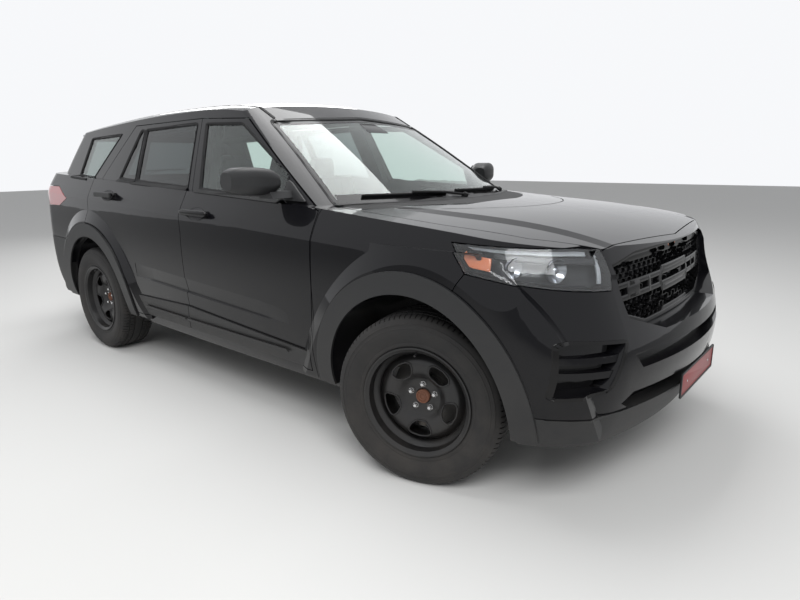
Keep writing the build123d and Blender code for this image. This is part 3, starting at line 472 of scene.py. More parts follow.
rim = {
    "windows": 5,
    "faceProfile": [
        (0.031, 0.022), (0.034, 0.0262), (0.046, 0.0262), (0.072, 0.0262), (0.080, 0.0285),
        (0.090, 0.036), (0.102, 0.049), (0.116, 0.0595), (0.132, 0.0645), (0.150, 0.0655),
        (0.166, 0.0635), (0.178, 0.0565), (0.187, 0.046), (0.194, 0.038), (0.2005, 0.034)],
    "plate": 0.006,
    "windowShape": [
        (-0.040, 0.1655), (-0.053, 0.150), (-0.043, 0.124), (-0.022, 0.1045),
        (0.022, 0.1045), (0.043, 0.124), (0.053, 0.150), (0.040, 0.1655), (0.0, 0.1735)],
    "windowCorner": 0.008,
    "lipRadius": 0.0042,
    "barrel": [
        (0.2285, 0.111), (0.2445, 0.1115), (0.2462, 0.1150), (0.2445, 0.1188), (0.238, 0.1186),
        (0.2335, 0.1135), (0.2235, 0.108), (0.2205, 0.071), (0.2135, 0.064), (0.200, 0.050),
        (0.1986, 0.034), (0.1986, -0.055), (0.2205, -0.072), (0.2215, -0.111), (0.2445, -0.119),
        (0.2455, -0.111), (0.2286, -0.109), (0.2286, -0.071), (0.2066, -0.052), (0.2066, 0.052),
        (0.2286, 0.072)],
    "nutCircle": 0.057,
    "nut": {"radius": 0.0122, "height": 0.016, "edge": 0.0022, "dome": 0.0098, "foot": (0.0142, 0.0125, 0.004),
            "above": 0.0262},
    "hub": [
        (0.0, 0.034), (0.011, 0.034), (0.0125, 0.0385), (0.0165, 0.0395), (0.0185, 0.0355),
        (0.0235, 0.0350), (0.0255, 0.0385), (0.0295, 0.0385), (0.0305, 0.0365), (0.0305, 0.020)],
    "brake": [
        (0.066, -0.020), (0.0835, -0.020), (0.0845, -0.040), (0.166, -0.040), (0.168, -0.042),
        (0.168, -0.050), (0.163, -0.051), (0.163, -0.058), (0.168, -0.059), (0.168, -0.068),
        (0.166, -0.070), (0.066, -0.070)],
    "valve": [(0, 0.101, 0.222), (0, 0.112, 0.2165), (0, 0.124, 0.2125)],
    "valveRadius": 0.0045,
}


def makeTyreMesh():
    half = tyre["halfProfile"]
    profile = half + [(radius, -along) for radius, along in reversed(half)]
    pitch = 360 / tyre["pitches"]
    groove = tyre["grooveDeg"]
    land = pitch / 2 - groove
    sectors = [("shoulderBand", groove), (None, land), ("middleBand", groove), (None, land)]
    bm = bmesh.new()
    verts = [bm.verts.new((radius, along, 0)) for radius, along in profile]
    geom = verts + [bm.edges.new(pair) for pair in zip(verts, verts[1:] + verts[:1])]
    cuts = []
    for band, angle in sectors:
        known = set(bm.faces)
        made = bmesh.ops.spin(bm, geom=geom, cent=(0, 0, 0), axis=(0, 1, 0), angle=math.radians(angle),
                              steps=1)
        geom = made["geom_last"]
        if band:
            low, high = tyre[band]
            fresh = [face for face in bm.faces if face not in known]
            for sign in (1, -1):
                cuts.append([face for face in fresh if low < sign * face.calc_center_median().y < high
                             and face.calc_center_median().xz.length > tyre["treadFoot"]])
    for faces in cuts:
        for vert in movedVerts(bmesh.ops.extrude_face_region(bm, geom=faces)):
            reach = vert.co.xz.length
            scale = (reach - tyre["grooveDepth"]) / reach
            vert.co.x *= scale
            vert.co.z *= scale
        bmesh.ops.delete(bm, geom=faces, context="FACES_ONLY")
    more = tyre["pitches"] - 1
    bmesh.ops.spin(bm, geom=allGeom(bm), cent=(0, 0, 0), axis=(0, 1, 0), angle=math.radians(pitch * more),
                   steps=more, use_duplicate=True)
    return closeMesh(bm, "tyreShape", 28, 0.0002)


def faceHeight(radius):
    rows = rim["faceProfile"]
    for (r0, y0), (r1, y1) in zip(rows, rows[1:]):
        if radius <= r1:
            return y0 + (y1 - y0) * max(0, (radius - r0) / (r1 - r0))
    return rows[-1][1]


def windowPath():
    bm = bmesh.new()
    verts = [bm.verts.new((u, 0, v)) for u, v in rim["windowShape"]]
    bm.faces.new(verts)
    roundOff(bm, verts, rim["windowCorner"], 3, "VERTICES")
    face = max(bm.faces, key=lambda f: f.calc_area())
    places = [vert.co.copy() for vert in face.verts]
    bm.free()
    return places


def makeRimMesh():
    bm = bmesh.new()
    top = rim["faceProfile"]
    bottom = [(radius, along - rim["plate"]) for radius, along in reversed(top)]
    addSpun(bm, top + bottom, 120, closed=True)
    disc = bpy.data.objects.new("disc", closeMesh(bm, "disc", 30))
    bpy.context.scene.collection.objects.link(disc)
    cutter = bmesh.new()
    path = windowPath()
    for k in range(rim["windows"]):
        turn = Matrix.Rotation(math.radians(360 / rim["windows"] * k + 180), 4, "Y")
        low = [cutter.verts.new(turn @ Vector((p.x, -0.01, p.z))) for p in path]
        extrudeBy(cutter, [cutter.faces.new(low)], (0, 0.12, 0))
    knife = bpy.data.objects.new("knife", closeMesh(cutter, "knife"))
    bpy.context.scene.collection.objects.link(knife)
    cut = disc.modifiers.new("windows", "BOOLEAN")
    cut.operation = "DIFFERENCE"
    cut.solver = "EXACT"
    cut.object = knife
    soften = disc.modifiers.new("soften", "BEVEL")
    soften.width = 0.0012
    soften.segments = 2
    soften.limit_method = "ANGLE"
    applyModifiers(disc)
    bm = bmesh.new()
    bm.from_mesh(disc.data)
    for k in range(rim["windows"]):
        turn = Matrix.Rotation(math.radians(360 / rim["windows"] * k + 180), 4, "Y")
        ring = [turn @ Vector((p.x * 1.03, faceHeight(math.hypot(p.x, p.z)) + 0.0008, p.z)) for p in path]
        addTube(bm, ring, rim["lipRadius"], closed=True)
    barrel = bmesh.new()
    addSpun(barrel, rim["barrel"], 120, closed=True)
    roundOff(barrel, [edge for edge in barrel.edges if edge.calc_face_angle(0) > 0.6], 0.0014)
    bm.from_mesh(closeMesh(barrel, "barrel"))
    addTube(bm, rim["valve"], rim["valveRadius"])
    for extra in (disc, knife):
        bpy.data.objects.remove(extra)
    return closeMesh(bm, "rimShape", 30)


def makeNutsMesh():
    bm = bmesh.new()
    size = rim["nut"]
    height, (wide, narrow, depth) = size["height"], size["foot"]
    for k in range(rim["windows"]):
        nut = bmesh.new()
        bmesh.ops.create_circle(nut, cap_ends=True, radius=size["radius"], segments=6)
        extrudeBy(nut, list(nut.faces), (0, 0, height))
        top = [face for face in nut.faces if face.calc_center_median().z > height - 0.0005]
        roundOff(nut, [edge for face in top for edge in face.edges], size["edge"])
        dome = Matrix.Translation((0, 0, height + 0.0005)) @ Matrix.Diagonal((1, 1, 0.75, 1))
        bmesh.ops.create_uvsphere(nut, u_segments=20, v_segments=10, radius=size["dome"], matrix=dome)
        bmesh.ops.create_cone(nut, cap_ends=True, segments=24, radius1=wide, radius2=narrow, depth=depth,
                              matrix=Matrix.Translation((0, 0, depth / 2)))
        angle = math.radians(360 / rim["windows"] * (k + 0.5) + 180)
        place = Matrix.Rotation(angle, 4, "Y") @ Matrix.Translation((0, size["above"], rim["nutCircle"]))
        bmesh.ops.transform(nut, matrix=place @ Matrix.Rotation(math.radians(-90), 4, "X"), verts=nut.verts)
        bm.from_mesh(closeMesh(nut, "nut"))
    return closeMesh(bm, "nutsShape", 35)


def spunMesh(profile, steps, name, closed=False):
    bm = bmesh.new()
    addSpun(bm, profile, steps, closed)
    return closeMesh(bm, name, 30)


def wheelPlace(axle, side):
    low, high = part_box(f"rim_{axle}_{side}")
    middle = (Vector(low) + Vector(high)) / 2
    spin = next(j for j in frame["record"]["behaviour"]["joints"] if j["name"] == f"wheel_{axle}_{side}_spin")
    turn = math.atan2(-spin["axis"][0], spin["axis"][1])
    return Matrix.Translation(middle) @ Matrix.Rotation(turn + (math.pi if side == "right" else 0), 4, "Z")


def makeWheels():
    shapes = [
        ("tyreTread", makeTyreMesh(), "tyre_rubber", "tyre_rubber", "tyre"),
        ("steelRim", makeRimMesh(), "wheel_steel", "wheel_steel", "rim"),
        ("lugNuts", makeNutsMesh(), "lug_chrome", "lug_chrome", None),
        ("hubEnd", spunMesh(rim["hub"], 40, "hubShape"), "rusty_steel", "cast_metal", None),
        ("brakeDisc", spunMesh(rim["brake"], 72, "brakeShape", closed=True), "brake_iron", "cast_metal", None),
    ]
    for axle in ("front", "rear"):
        for side in sides:
            place = wheelPlace(axle, side)
            for name, shape, finish, slotName, node in shapes:
                mesh = shape.copy()
                mesh.transform(place)
                piece = linkPiece(f"{name}_{axle}_{side}", mesh, finishes[finish], f"wheel_{axle}_{side}",
                                  slotName)
                if node:
                    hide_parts(f"{node}_{axle}_{side}")
    print("wheels: 4")


# Grille and nose

grille = {
    "face": [(-0.371, 0.729), (-0.589, 0.801), (-0.629, 1.003), (-0.430, 1.039)],
    "centre": (2.371, 0.0, 0.88),
    "bowRadius": 3.8,
    "rakeDeg": 8,
    "cell": (0.046, 0.0285),
    "rowPitch": 0.0216,
    "rows": 17,
    "columns": 15,
    "wall": 0.0042,
    "cellDepth": 0.011,
    "frameWidth": 0.021,
    "band": (0.992, 1.032),
    "bars": [(0.851, 0.874), (0.900, 0.923)],
    "barHalf": 0.585,
    "blocks": [(0.395, 0.500), (0.292, 0.316)],
    "blockSpan": (0.853, 0.922),
    "badgeFace": [(-0.213, 0.884), (-0.178, 0.940), (0.178, 0.940), (0.213, 0.884), (0.178, 0.828),
                  (-0.178, 0.828)],
    "badgeWidth": 0.026,
    "footBar": [(-0.21, 0.735), (0.21, 0.735), (0.17, 0.765), (-0.17, 0.765)],
    "behind": -0.0135,
    "proud": 0.0115,
    "dots": {"y": (-0.045, 0.045), "z": 1.013, "radius": 0.0055},
}


# Flat work is done in the grille's own upright plane, then bowed and raked
def bowGrille(bm):
    bow = grille["bowRadius"]
    for vert in bm.verts:
        vert.co.x += math.sqrt(bow ** 2 - vert.co.y ** 2) - bow
    rake = Matrix.Rotation(math.radians(-grille["rakeDeg"]), 4, "Y")
    bmesh.ops.transform(bm, matrix=Matrix.Translation(grille["centre"]) @ rake, verts=bm.verts)


def grilleFace(points):
    drop = grille["centre"][2]
    return [(y, (z - drop) / math.cos(math.radians(grille["rakeDeg"]))) for y, z in points]


def wholeOutline(half):
    return half + [(-y, z) for y, z in reversed(half)]


def makeHoneycomb():
    width, height = grille["cell"]
    shape = Matrix.Diagonal((height / 2, width / math.sqrt(3), 1, 1))
    bm = bmesh.new()
    for row in range(grille["rows"]):
        for column in range(-grille["columns"], grille["columns"] + 1):
            place = Matrix.Translation((0, (column + row % 2 / 2) * width, row * grille["rowPitch"] - 0.172))
            bmesh.ops.create_circle(bm, cap_ends=True, radius=1, segments=6,
                                    matrix=place @ Matrix.Rotation(math.radians(90), 4, "Y") @ shape)
    bmesh.ops.remove_doubles(bm, verts=bm.verts, dist=0.0006)
    outline = grilleFace(wholeOutline(grille["face"]))
    for (y0, z0), (y1, z1) in zip(outline, outline[1:] + outline[:1]):
        bmesh.ops.bisect_plane(bm, geom=allGeom(bm), dist=0.00001, plane_co=(0, y0, z0),
                               plane_no=(0, z0 - z1, y1 - y0), clear_outer=True)
    cells = list(bm.faces)
    bmesh.ops.recalc_face_normals(bm, faces=cells)
    if sum(cell.normal.x for cell in cells) < 0:
        bmesh.ops.reverse_faces(bm, faces=cells)
    bmesh.ops.inset_individual(bm, faces=cells, thickness=grille["wall"] / 2, use_even_offset=True)
    bmesh.ops.inset_individual(bm, faces=cells, thickness=0.0012, depth=-grille["cellDepth"],
                               use_even_offset=True)
    bmesh.ops.delete(bm, geom=cells, context="FACES")
    bmesh.ops.translate(bm, verts=bm.verts, vec=(-0.0015, 0, 0))
    bowGrille(bm)
    comb = makePiece("grilleHoneycomb", bm, "gloss_plastic")
    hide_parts("grille")


def makeGrilleFrame():
    bm = bmesh.new()
    behind, proud = grille["behind"], grille["proud"]
    face = grilleFace(wholeOutline(grille["face"]))
    addPlate(bm, face, behind, 0.010, corner=0.016, edge=0.0025, ring=grille["frameWidth"])
    inner = [(y * 0.955, z * 0.9) for y, z in face]
    addPlate(bm, inner, behind, 0.004, corner=0.016, edge=0.0015, ring=0.006)
    low, high = grille["band"]
    band = wholeOutline([(-0.61, low), (-0.612, low + 0.012), (-0.43, high)])
    addPlate(bm, grilleFace(band), behind, 0.0015, edge=0.001)
    half = grille["barHalf"]
    for low, high in grille["bars"]:
        bar = [(-half, low), (half, low), (half - 0.004, high), (-half + 0.004, high)]
        addPlate(bm, grilleFace(bar), behind, proud, edge=0.0022)
    for near, far in grille["blocks"]:
        for sign in (-1, 1):
            block = rectangle(*sorted((sign * near, sign * far)), *grille["blockSpan"])
            addPlate(bm, grilleFace(block), behind, proud, corner=0.005, edge=0.0022)
    badge = grilleFace(grille["badgeFace"])
    addPlate(bm, badge, behind, 0.0118, corner=0.008, edge=0.0035, ring=grille["badgeWidth"])
    addPlate(bm, [(y * 0.86, z * 0.56) for y, z in badge], behind, 0.0005, corner=0.004, edge=0.001)
    addPlate(bm, grilleFace(grille["footBar"]), behind, 0.009, corner=0.008, edge=0.003)
    cutEvery(bm, "y", 0.04)
    bowGrille(bm)
    makePiece("grilleFrame", bm, "gloss_plastic")


def makeGrilleBack():
    bm = bmesh.new()
    addPlate(bm, grilleFace(wholeOutline(grille["face"])), -0.0138, -0.0125)
    cutEvery(bm, "y", 0.06)
    bowGrille(bm)
    makePiece("grilleBack", bm, "cabin_plastic", slotName="gloss_plastic")


def makeBandDots():
    bm = bmesh.new()
    dots = grille["dots"]
    for y, z in grilleFace([(y, dots["z"]) for y in dots["y"]]):
        place = Matrix.Translation((0.0015, y, z))
        bmesh.ops.create_uvsphere(bm, u_segments=16, v_segments=8, radius=dots["radius"],
                                  matrix=place @ Matrix.Diagonal((0.3, 1, 1, 1)))
    bowGrille(bm)
    makePiece("grilleDots", bm, "amber_lens", slotName="gloss_plastic")


def makeGrille():
    makeHoneycomb()
    makeGrilleFrame()
    makeGrilleBack()
    makeBandDots()
    print("grille cells:", grille["rows"] * (2 * grille["columns"] + 1))


plate = {"frontCentre": (2.5195, 0, 0.455), "size": (0.52, 0.113), "margin": 0.015, "holder": 0.009,
         "screwY": 0.17}


# A blank plate in a plain holder, facing +X, then turned and set in place
def makePlate(name, centre, body, turnDeg=0.0, leanDeg=0.0):
    width, height = plate["size"]
    face = rectangle(-width / 2, width / 2, -height / 2, height / 2)
    place = (Matrix.Translation(centre) @ Matrix.Rotation(math.radians(turnDeg), 4, "Z")
             @ Matrix.Rotation(math.radians(leanDeg), 4, "Y"))
    holder = bmesh.new()
    addPlate(holder, face, -0.004, 0.0034, corner=0.008, edge=0.001, ring=plate["holder"])
    addPlate(holder, face, -0.004, -0.001, corner=0.008)
    bmesh.ops.transform(holder, matrix=place, verts=holder.verts)
    makePiece(f"{name}Holder", holder, "trim_plastic", body)
    inner = [(y * (1 - plate["margin"] / width), z * (1 - plate["margin"] / height)) for y, z in face]
    sheet = bmesh.new()
    addPlate(sheet, inner, -0.002, 0.0006, corner=0.006, edge=0.0003)
    border = [(y * 0.975, z * 0.9) for y, z in inner]
    addPlate(sheet, border, -0.001, 0.0014, corner=0.006, edge=0.0005, ring=0.0035)
    bmesh.ops.transform(sheet, matrix=place, verts=sheet.verts)
    piece = makePiece(f"{name}Plate", sheet, "plate_metal", body)
    screws = bmesh.new()
    for sign in (-1, 1):
        bmesh.ops.create_uvsphere(screws, u_segments=18, v_segments=10, radius=0.0055,
                                  matrix=place @ Matrix.Translation((0.0012, sign * plate["screwY"], 0))
                                  @ Matrix.Diagonal((0.4, 1, 1, 1)))
    makePiece(f"{name}Screws", screws, "lug_chrome", body)
    return piece


def makeFrontPlate():
    sheet = makePlate("front", plate["frontCentre"], "root")
    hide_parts("front_plate")
    print("front plate ready")


# Headlamps: lens shell, bucket and what is in it, on rays that fan out from a point inside

headlamp = {
    "fanFrom": (1.85, 0.45),
    "fanDeg": (93.0, 22.5),
    "outward": (0.6, 0.8, 0.1),
    "lens": 0.003,
    "bucket": 0.062,
    "lightBar": {"u": (0.06, 0.965), "v": (0.80, 0.95), "lift": 0.030},
    "innerBar": {"u": (0.945, 0.975), "v": (0.12, 0.95), "lift": 0.034},
    "amber": {"u": (0.075, 0.27), "v": (0.16, 0.60), "lift": 0.032},
    "shelf": {"u": (0.29, 0.93), "v": (0.62, 0.78), "lift": 0.020},
    "patches": (("lightBar", "lamp_grey", "lamp_clear"), ("innerBar", "lamp_grey", "lamp_clear"),
                ("amber", "amber_lens", "lamp_clear"), ("shelf", "lamp_dark", "trim_plastic")),
    "heights": (0.90, 0.002, 95),
    "bowls": [
        {"u": 0.42, "v": 0.40, "radius": 0.034, "depth": 0.026},
        {"u": 0.67, "v": 0.44, "radius": 0.041, "depth": 0.03},
    ],
}


# Faces of a node's copy that lie on the car's skin
def skinSheet(nodeName, outward, least=0.3, side=None):
    bm = bmesh.new()
    bm.from_mesh(nodes[nodeName].data)
    bmesh.ops.remove_doubles(bm, verts=bm.verts, dist=0.00005)
    bm.normal_update()
    drop = []
    for face in bm.faces:
        centre = face.calc_center_median()
        sign = 1 if centre.y > 0 else -1
        facing = Vector((outward[0], outward[1] * sign, outward[2])).normalized()
        wrongSide = side and sign != sides[side]
        if wrongSide or face.normal.dot(facing) < least:
            drop.append(face)
    bmesh.ops.delete(bm, geom=drop, context="FACES")
    return bm


def fanHit(tree, side, angleDeg, z):
    x, y = headlamp["fanFrom"]
    sign = sides[side]
    angle = math.radians(angleDeg)
    out = Vector((math.cos(angle), sign * math.sin(angle), 0))
    return tree.ray_cast(Vector((x, sign * y, z)), out)[0], out


# The lens's lowest and highest point on each ray of the fan
def lampSpans(tree, side, steps=40):
    spans = []
    first, last = headlamp["fanDeg"]
    low, step, count = headlamp["heights"]
    for k in range(steps + 1):
        angle = first + (last - first) * k / steps
        reached = [low + step * n for n in range(count) if fanHit(tree, side, angle, low + step * n)[0]]
        spans.append((min(reached), max(reached)) if reached else None)
    known = [span for span in spans if span]
    return [span or known[0 if k < steps / 2 else -1] for k, span in enumerate(spans)]


# A place in the lamp: u from its rear end to its inner end, v from its foot to its top
def lampPlace(tree, spans, side, u, v, lift):
    first, last = headlamp["fanDeg"]
    at = u * (len(spans) - 1)
    k = min(int(at), len(spans) - 2)
    low = spans[k][0] + (spans[k + 1][0] - spans[k][0]) * (at - k)
    high = spans[k][1] + (spans[k + 1][1] - spans[k][1]) * (at - k)
    hit, out = fanHit(tree, side, first + (last - first) * u, low + (high - low) * v)
    return hit - out * lift if hit else None


def lampPatch(tree, spans, side, values, thickness=0.008):
    work = bmesh.new()
    (u0, u1), (v0, v1) = values["u"], values["v"]
    bmesh.ops.create_grid(work, x_segments=max(4, round((u1 - u0) * 60)), y_segments=4, size=0.5)
    lost = []
    for vert in work.verts:
        u, v = u0 + (u1 - u0) * (vert.co.x + 0.5), v0 + (v1 - v0) * (vert.co.y + 0.5)
        place = lampPlace(tree, spans, side, u, v, values["lift"])
        if place:
            vert.co = place
        else:
            lost.append(vert)
    bmesh.ops.delete(work, geom=lost, context="VERTS")
    bmesh.ops.recalc_face_normals(work, faces=work.faces)
    bmesh.ops.solidify(work, geom=list(work.faces), thickness=thickness)
    roundOff(work, sharpEdges(work), thickness / 4)
    return work


def makeHeadlamp(side):
    lens = skinSheet("headlamps", headlamp["outward"], side=side)
    tree = BVHTree.FromBMesh(lens)
    spans = lampSpans(tree, side)
    bucket = lens.copy()
    bmesh.ops.solidify(lens, geom=list(lens.faces), thickness=headlamp["lens"])
    piece = makePiece(f"headlampLens_{side}", lens, "lamp_clear")
    outer = list(bucket.faces)
    bmesh.ops.solidify(bucket, geom=list(bucket.faces), thickness=headlamp["bucket"])
    bmesh.ops.delete(bucket, geom=[face for face in outer if face.is_valid], context="FACES_ONLY")
    makePiece(f"headlampBucket_{side}", bucket, "lamp_dark", slotName="trim_plastic")
    for name, finish, slotName in headlamp["patches"]:
        bm = bmesh.new()
        joinInto(bm, lampPatch(tree, spans, side, headlamp[name]))
        makePiece(f"headlamp{name[0].upper()}{name[1:]}_{side}", bm, finish, "root", slotName)
    bowls = bmesh.new()
    for values in headlamp["bowls"]:
        middle = lampPlace(tree, spans, side, values["u"], values["v"], 0.024)
        work = bmesh.new()
        radius, depth = values["radius"], values["depth"]
        profile = [(radius * s, -depth * (1 - s ** 2)) for s in (0.02, 0.2, 0.4, 0.6, 0.8, 0.92, 1.0)]
        addSpun(work, profile + [(radius * 1.08, 0.0), (radius * 1.08, -0.012)], 48)
        bmesh.ops.create_uvsphere(work, u_segments=24, v_segments=14, radius=radius * 0.38,
                                  matrix=Matrix.Translation((0, -depth * 0.55, 0)))
        turn = Matrix.Rotation(math.radians(-90 + 24 * sides[side]), 4, "Z")
        joinInto(bowls, work, Matrix.Translation(middle) @ turn)
    makePiece(f"headlampBowls_{side}", bowls, "lamp_bright", slotName="lug_chrome")
    return piece


def makeHeadlamps():
    made = [makeHeadlamp(side) for side in sides]
    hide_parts("headlamps")
    print("headlamps:", len(made))


# Seals, handles, mirrors and other trim on the skin

windows = {
    "front": {"body": "front_door",
              "outline": [(-0.030, 1.224), (-0.140, 1.600), (0.222, 1.586), (0.724, 1.314), (0.724, 1.192)]},
    "rear": {"body": "rear_door",
             "outline": [(-0.172, 1.230), (-0.250, 1.606), (-0.872, 1.590), (-0.820, 1.256)]},
    "vent": {"body": "rear_door",
             "outline": [(-0.862, 1.258), (-0.912, 1.589), (-0.952, 1.588), (-1.088, 1.268)]},
    "quarter": {"body": "root",
                "outline": [(-1.539, 1.268), (-1.256, 1.571), (-1.761, 1.556), (-1.808, 1.282)]},
}
seal = {"grow": 0.009, "width": 0.017, "lift": 0.0012, "thickness": 0.0025, "beltDrop": 0.016}
divider = [(-0.815, 1.252), (-0.868, 1.594), (-0.916, 1.593), (-0.866, 1.254)]
sail = [(0.737, 1.190), (0.737, 1.290), (0.780, 1.272), (0.905, 1.186)]
doorRibs = {
    "front": [(-0.128, 0.432), (0.84, 0.432), (0.82, 0.446), (-0.128, 0.446)],
    "rear": [(-0.875, 0.432), (-0.148, 0.432), (-0.148, 0.446), (-0.885, 0.446)],
}
handles = {
    "front": {"x": (-0.074, 0.194), "z": 1.0975, "cup": (0.060, 1.090)},
    "rear": {"x": (-1.225, -0.956), "z": 1.165, "cup": (-1.091, 1.156)},
}
mirror = {"face": [(0.955, 1.222), (0.955, 1.335), (1.118, 1.333), (1.118, 1.232)], "middle": (1.036, 1.279),
          "corner": 0.032, "rim": 0.008}


def grownOutline(points, by):
    area = sum(a[0] * b[1] - b[0] * a[1] for a, b in zip(points, points[1:] + points[:1]))
    turn = 1 if area > 0 else -1
    grown = []
    for before, here, after in zip(points[-1:] + points[:-1], points, points[1:] + points[:1]):
        first = (Vector(here) - Vector(before)).normalized()
        second = (Vector(after) - Vector(here)).normalized()
        normal = Vector((first.y, -first.x)) * turn
        miter = (normal + Vector((second.y, -second.x)) * turn).normalized()
        grown.append(tuple(Vector(here) + miter * by / max(0.35, miter.dot(normal))))
    return grown


# A sheet laid on the car's side from straight outside
def addSide(bm, outline, side, tree=shellTree, **values):
    sign = sides[side]
    addDraped(bm, outline, tree, sign * rayFrom["side"], (0, -sign, 0), **values)


def makeSeals(side):
    groups = {}
    for window in windows.values():
        bm = groups.setdefault(window["body"], bmesh.new())
        outline = grownOutline(window["outline"], seal["grow"])
        addSide(bm, outline, side, lift=seal["lift"], thickness=seal["thickness"], corner=0.02,
                ring=seal["width"], grid=0.04)
        (x0, z0), (x1, z1) = sorted([window["outline"][0], window["outline"][-1]])
        x0, x1, drop = x0 - 0.012, x1 + 0.008, seal["beltDrop"]
        addSide(bm, [(x0, z0 - drop), (x1, z1 - drop), (x1, z1 - 0.002), (x0, z0 - 0.002)], side, lift=0.0022,
                thickness=0.004, grid=0.05, edge=0.001)
    addSide(groups["rear_door"], divider, side, lift=0.001, thickness=0.002, grid=0.06)
    for body, bm in groups.items():
        makePiece(f"windowSeal_{body}_{side}", bm, "seal_rubber", body if body == "root" else f"{body}_{side}",
                  "trim_plastic")


def makeSail(side):
    bm = bmesh.new()
    addSide(bm, sail, side, lift=0.004, thickness=0.008, corner=0.012, grid=0.04, edge=0.002)
    makePiece(f"mirrorSail_{side}", bm, "trim_plastic", f"front_door_{side}")


def makeDoorRib(name, side):
    bm = bmesh.new()
    addSide(bm, doorRibs[name], side, tree=nodeTree(f"{name}_door_trim_{side}"), lift=0.005, thickness=0.009,
            corner=0.006, grid=0.06, edge=0.002)
    makePiece(f"claddingRib_{name}_{side}", bm, "trim_plastic", f"{name}_door_{side}")


# A bowed grip over a dished cup
def makeHandle(name, side):
    sign, body = sides[side], f"{name}_door_{side}"
    (x0, x1), z = handles[name]["x"], handles[name]["z"]
    cx, cz = handles[name]["cup"]
    door = nodeTree(body)
    oval = [(0.085 * math.cos(k * math.pi / 12), 0.036 * math.sin(k * math.pi / 12)) for k in range(24)]
    cup = bmesh.new()
    addSide(cup, [(cx + a, cz + b) for a, b in oval], side, tree=door, lift=0.0012, thickness=0.002,
            ring=0.004, grid=0.05)
    makePiece(f"handleCup_{name}_{side}", cup, "gloss_plastic", body)
    dish = bmesh.new()
    addSide(dish, [(cx + a * 0.95, cz + b * 0.9) for a, b in oval], side, tree=door, lift=0.0005,
            thickness=0.001, grid=0.05)
    makePiece(f"handleDish_{name}_{side}", dish, "cabin_plastic", body, "gloss_plastic")
    grip = bmesh.new()
    addPlate(grip, [(x0 - 0.004, z - 0.013), (x1 + 0.004, z - 0.011), (x1 + 0.008, z + 0.004),
                    (x1 - 0.01, z + 0.013), (x0 + 0.01, z + 0.014), (x0 - 0.008, z + 0.003)],
             -0.009, 0.009, axis="y", corner=0.007, edge=0.0055)
    cutEvery(grip, "x", 0.015)
    skin = [skinPoint(door, (x, sign * rayFrom["side"], z), (0, -sign, 0)) for x in (x0, cx, x1)]
    out = max(hit.y * sign for hit in skin if hit)
    for vert in grip.verts:
        t = (vert.co.x - cx) / ((x1 - x0) / 2)
        vert.co.y += sign * (out + 0.030 - 0.006 * t * t)
    makePiece(f"handleGrip_{name}_{side}", grip, "gloss_plastic", body)


def makeMirror(side):
    sign, body = sides[side], f"front_door_{side}"
    tree = nodeTree(f"mirror_{side}")
    my, mz = mirror["middle"]
    glass, rim = bmesh.new(), bmesh.new()
    addDraped(glass, [(sign * (my + (y - my) * 0.93), mz + (z - mz) * 0.91) for y, z in mirror["face"]], tree,
              rayFrom["mirror"], (1, 0, 0), lift=0.0012, thickness=0.002, grid=0.04,
              corner=mirror["corner"] - 0.006)
    makePiece(f"mirrorGlass_{side}", glass, "mirror_glass", body)
    addDraped(rim, [(sign * y, z) for y, z in mirror["face"]], tree, rayFrom["mirror"], (1, 0, 0), lift=0.004,
              thickness=0.006, grid=0.04, corner=mirror["corner"], ring=mirror["rim"])
    makePiece(f"mirrorRim_{side}", rim, "trim_plastic", body)


# Windscreen band, cowl and wipers

screen = [(-0.776, 1.168), (-0.634, 1.598), (0.0, 1.634), (0.634, 1.598), (0.776, 1.168)]
cowl = {"rear": [(1.236, 0.0), (1.19, 0.40), (1.115, 0.62), (1.02, 0.775)],
        "front": [(1.03, 0.795), (1.06, 0.79), (1.214, 0.428), (1.282, 0.0)]}
screenBands = [([(-0.74, 1.176), (-0.725, 1.215), (0.725, 1.215), (0.74, 1.176)], 0.0),
               ([(-0.09, 1.540), (-0.07, 1.600), (0.07, 1.600), (0.09, 1.540)], 0.01)]
roofStrip = {"x": (-2.0, 0.36), "y": (0.589, 0.604)}
wipers = [
    {"blade": ((0.58, 1.192), (-0.01, 1.205)), "pivot": (0.66, 1.176), "hold": 0.45},
    {"blade": ((-0.10, 1.198), (-0.62, 1.200)), "pivot": (0.02, 1.176), "hold": 0.48},
]
rearWiper = {"blade": ((-0.02, 1.292), (0.34, 1.300)), "pivot": (0.0, 1.238), "hold": 0.5}
# Blade and rubber as radius and height over the glass, then the arm and the cap over its pivot
wiperShapes = {
    "front": {"steps": 12, "rods": ((0.0055, 0.012), (0.0035, 0.004)), "holdLift": 0.022, "pivotLift": 0.016,
              "crook": (0.012, 0, 0.01), "near": 0.7,
              "cap": [(0.0005, 0.012), (0.012, 0.011), (0.016, 0.004), (0.018, -0.012)]},
    "rear": {"steps": 10, "rods": ((0.005, 0.012), (0.0032, 0.004)), "holdLift": 0.02, "pivotLift": 0.014,
             "crook": (-0.012, 0, 0.006), "near": 0.6,
             "cap": [(0.0005, 0.014), (0.014, 0.012), (0.02, 0.003), (0.021, -0.012)]},
}


def makeScreenBand():
    glassTree = nodeTree("fixed_glass")
    bm, edge = bmesh.new(), bmesh.new()
    flat = {"start": rayFrom["screen"], "ray": (-1, 0, 0), "grid": 0.05}
    thin = {"tree": glassTree, "lift": 0.0006, "thickness": 0.0008}
    addDraped(bm, grownOutline(screen, -0.004), corner=0.03, ring=0.022, **flat, **thin)
    for outline, corner in screenBands:
        addDraped(bm, outline, corner=corner, **flat, **thin)
    makePiece("screenBand", bm, "gloss_plastic")
    addDraped(edge, grownOutline(screen, 0.008), shellTree, lift=0.0015, thickness=0.003, corner=0.03,
              ring=0.015, **flat)
    makePiece("screenSeal", edge, "seal_rubber", slotName="trim_plastic")


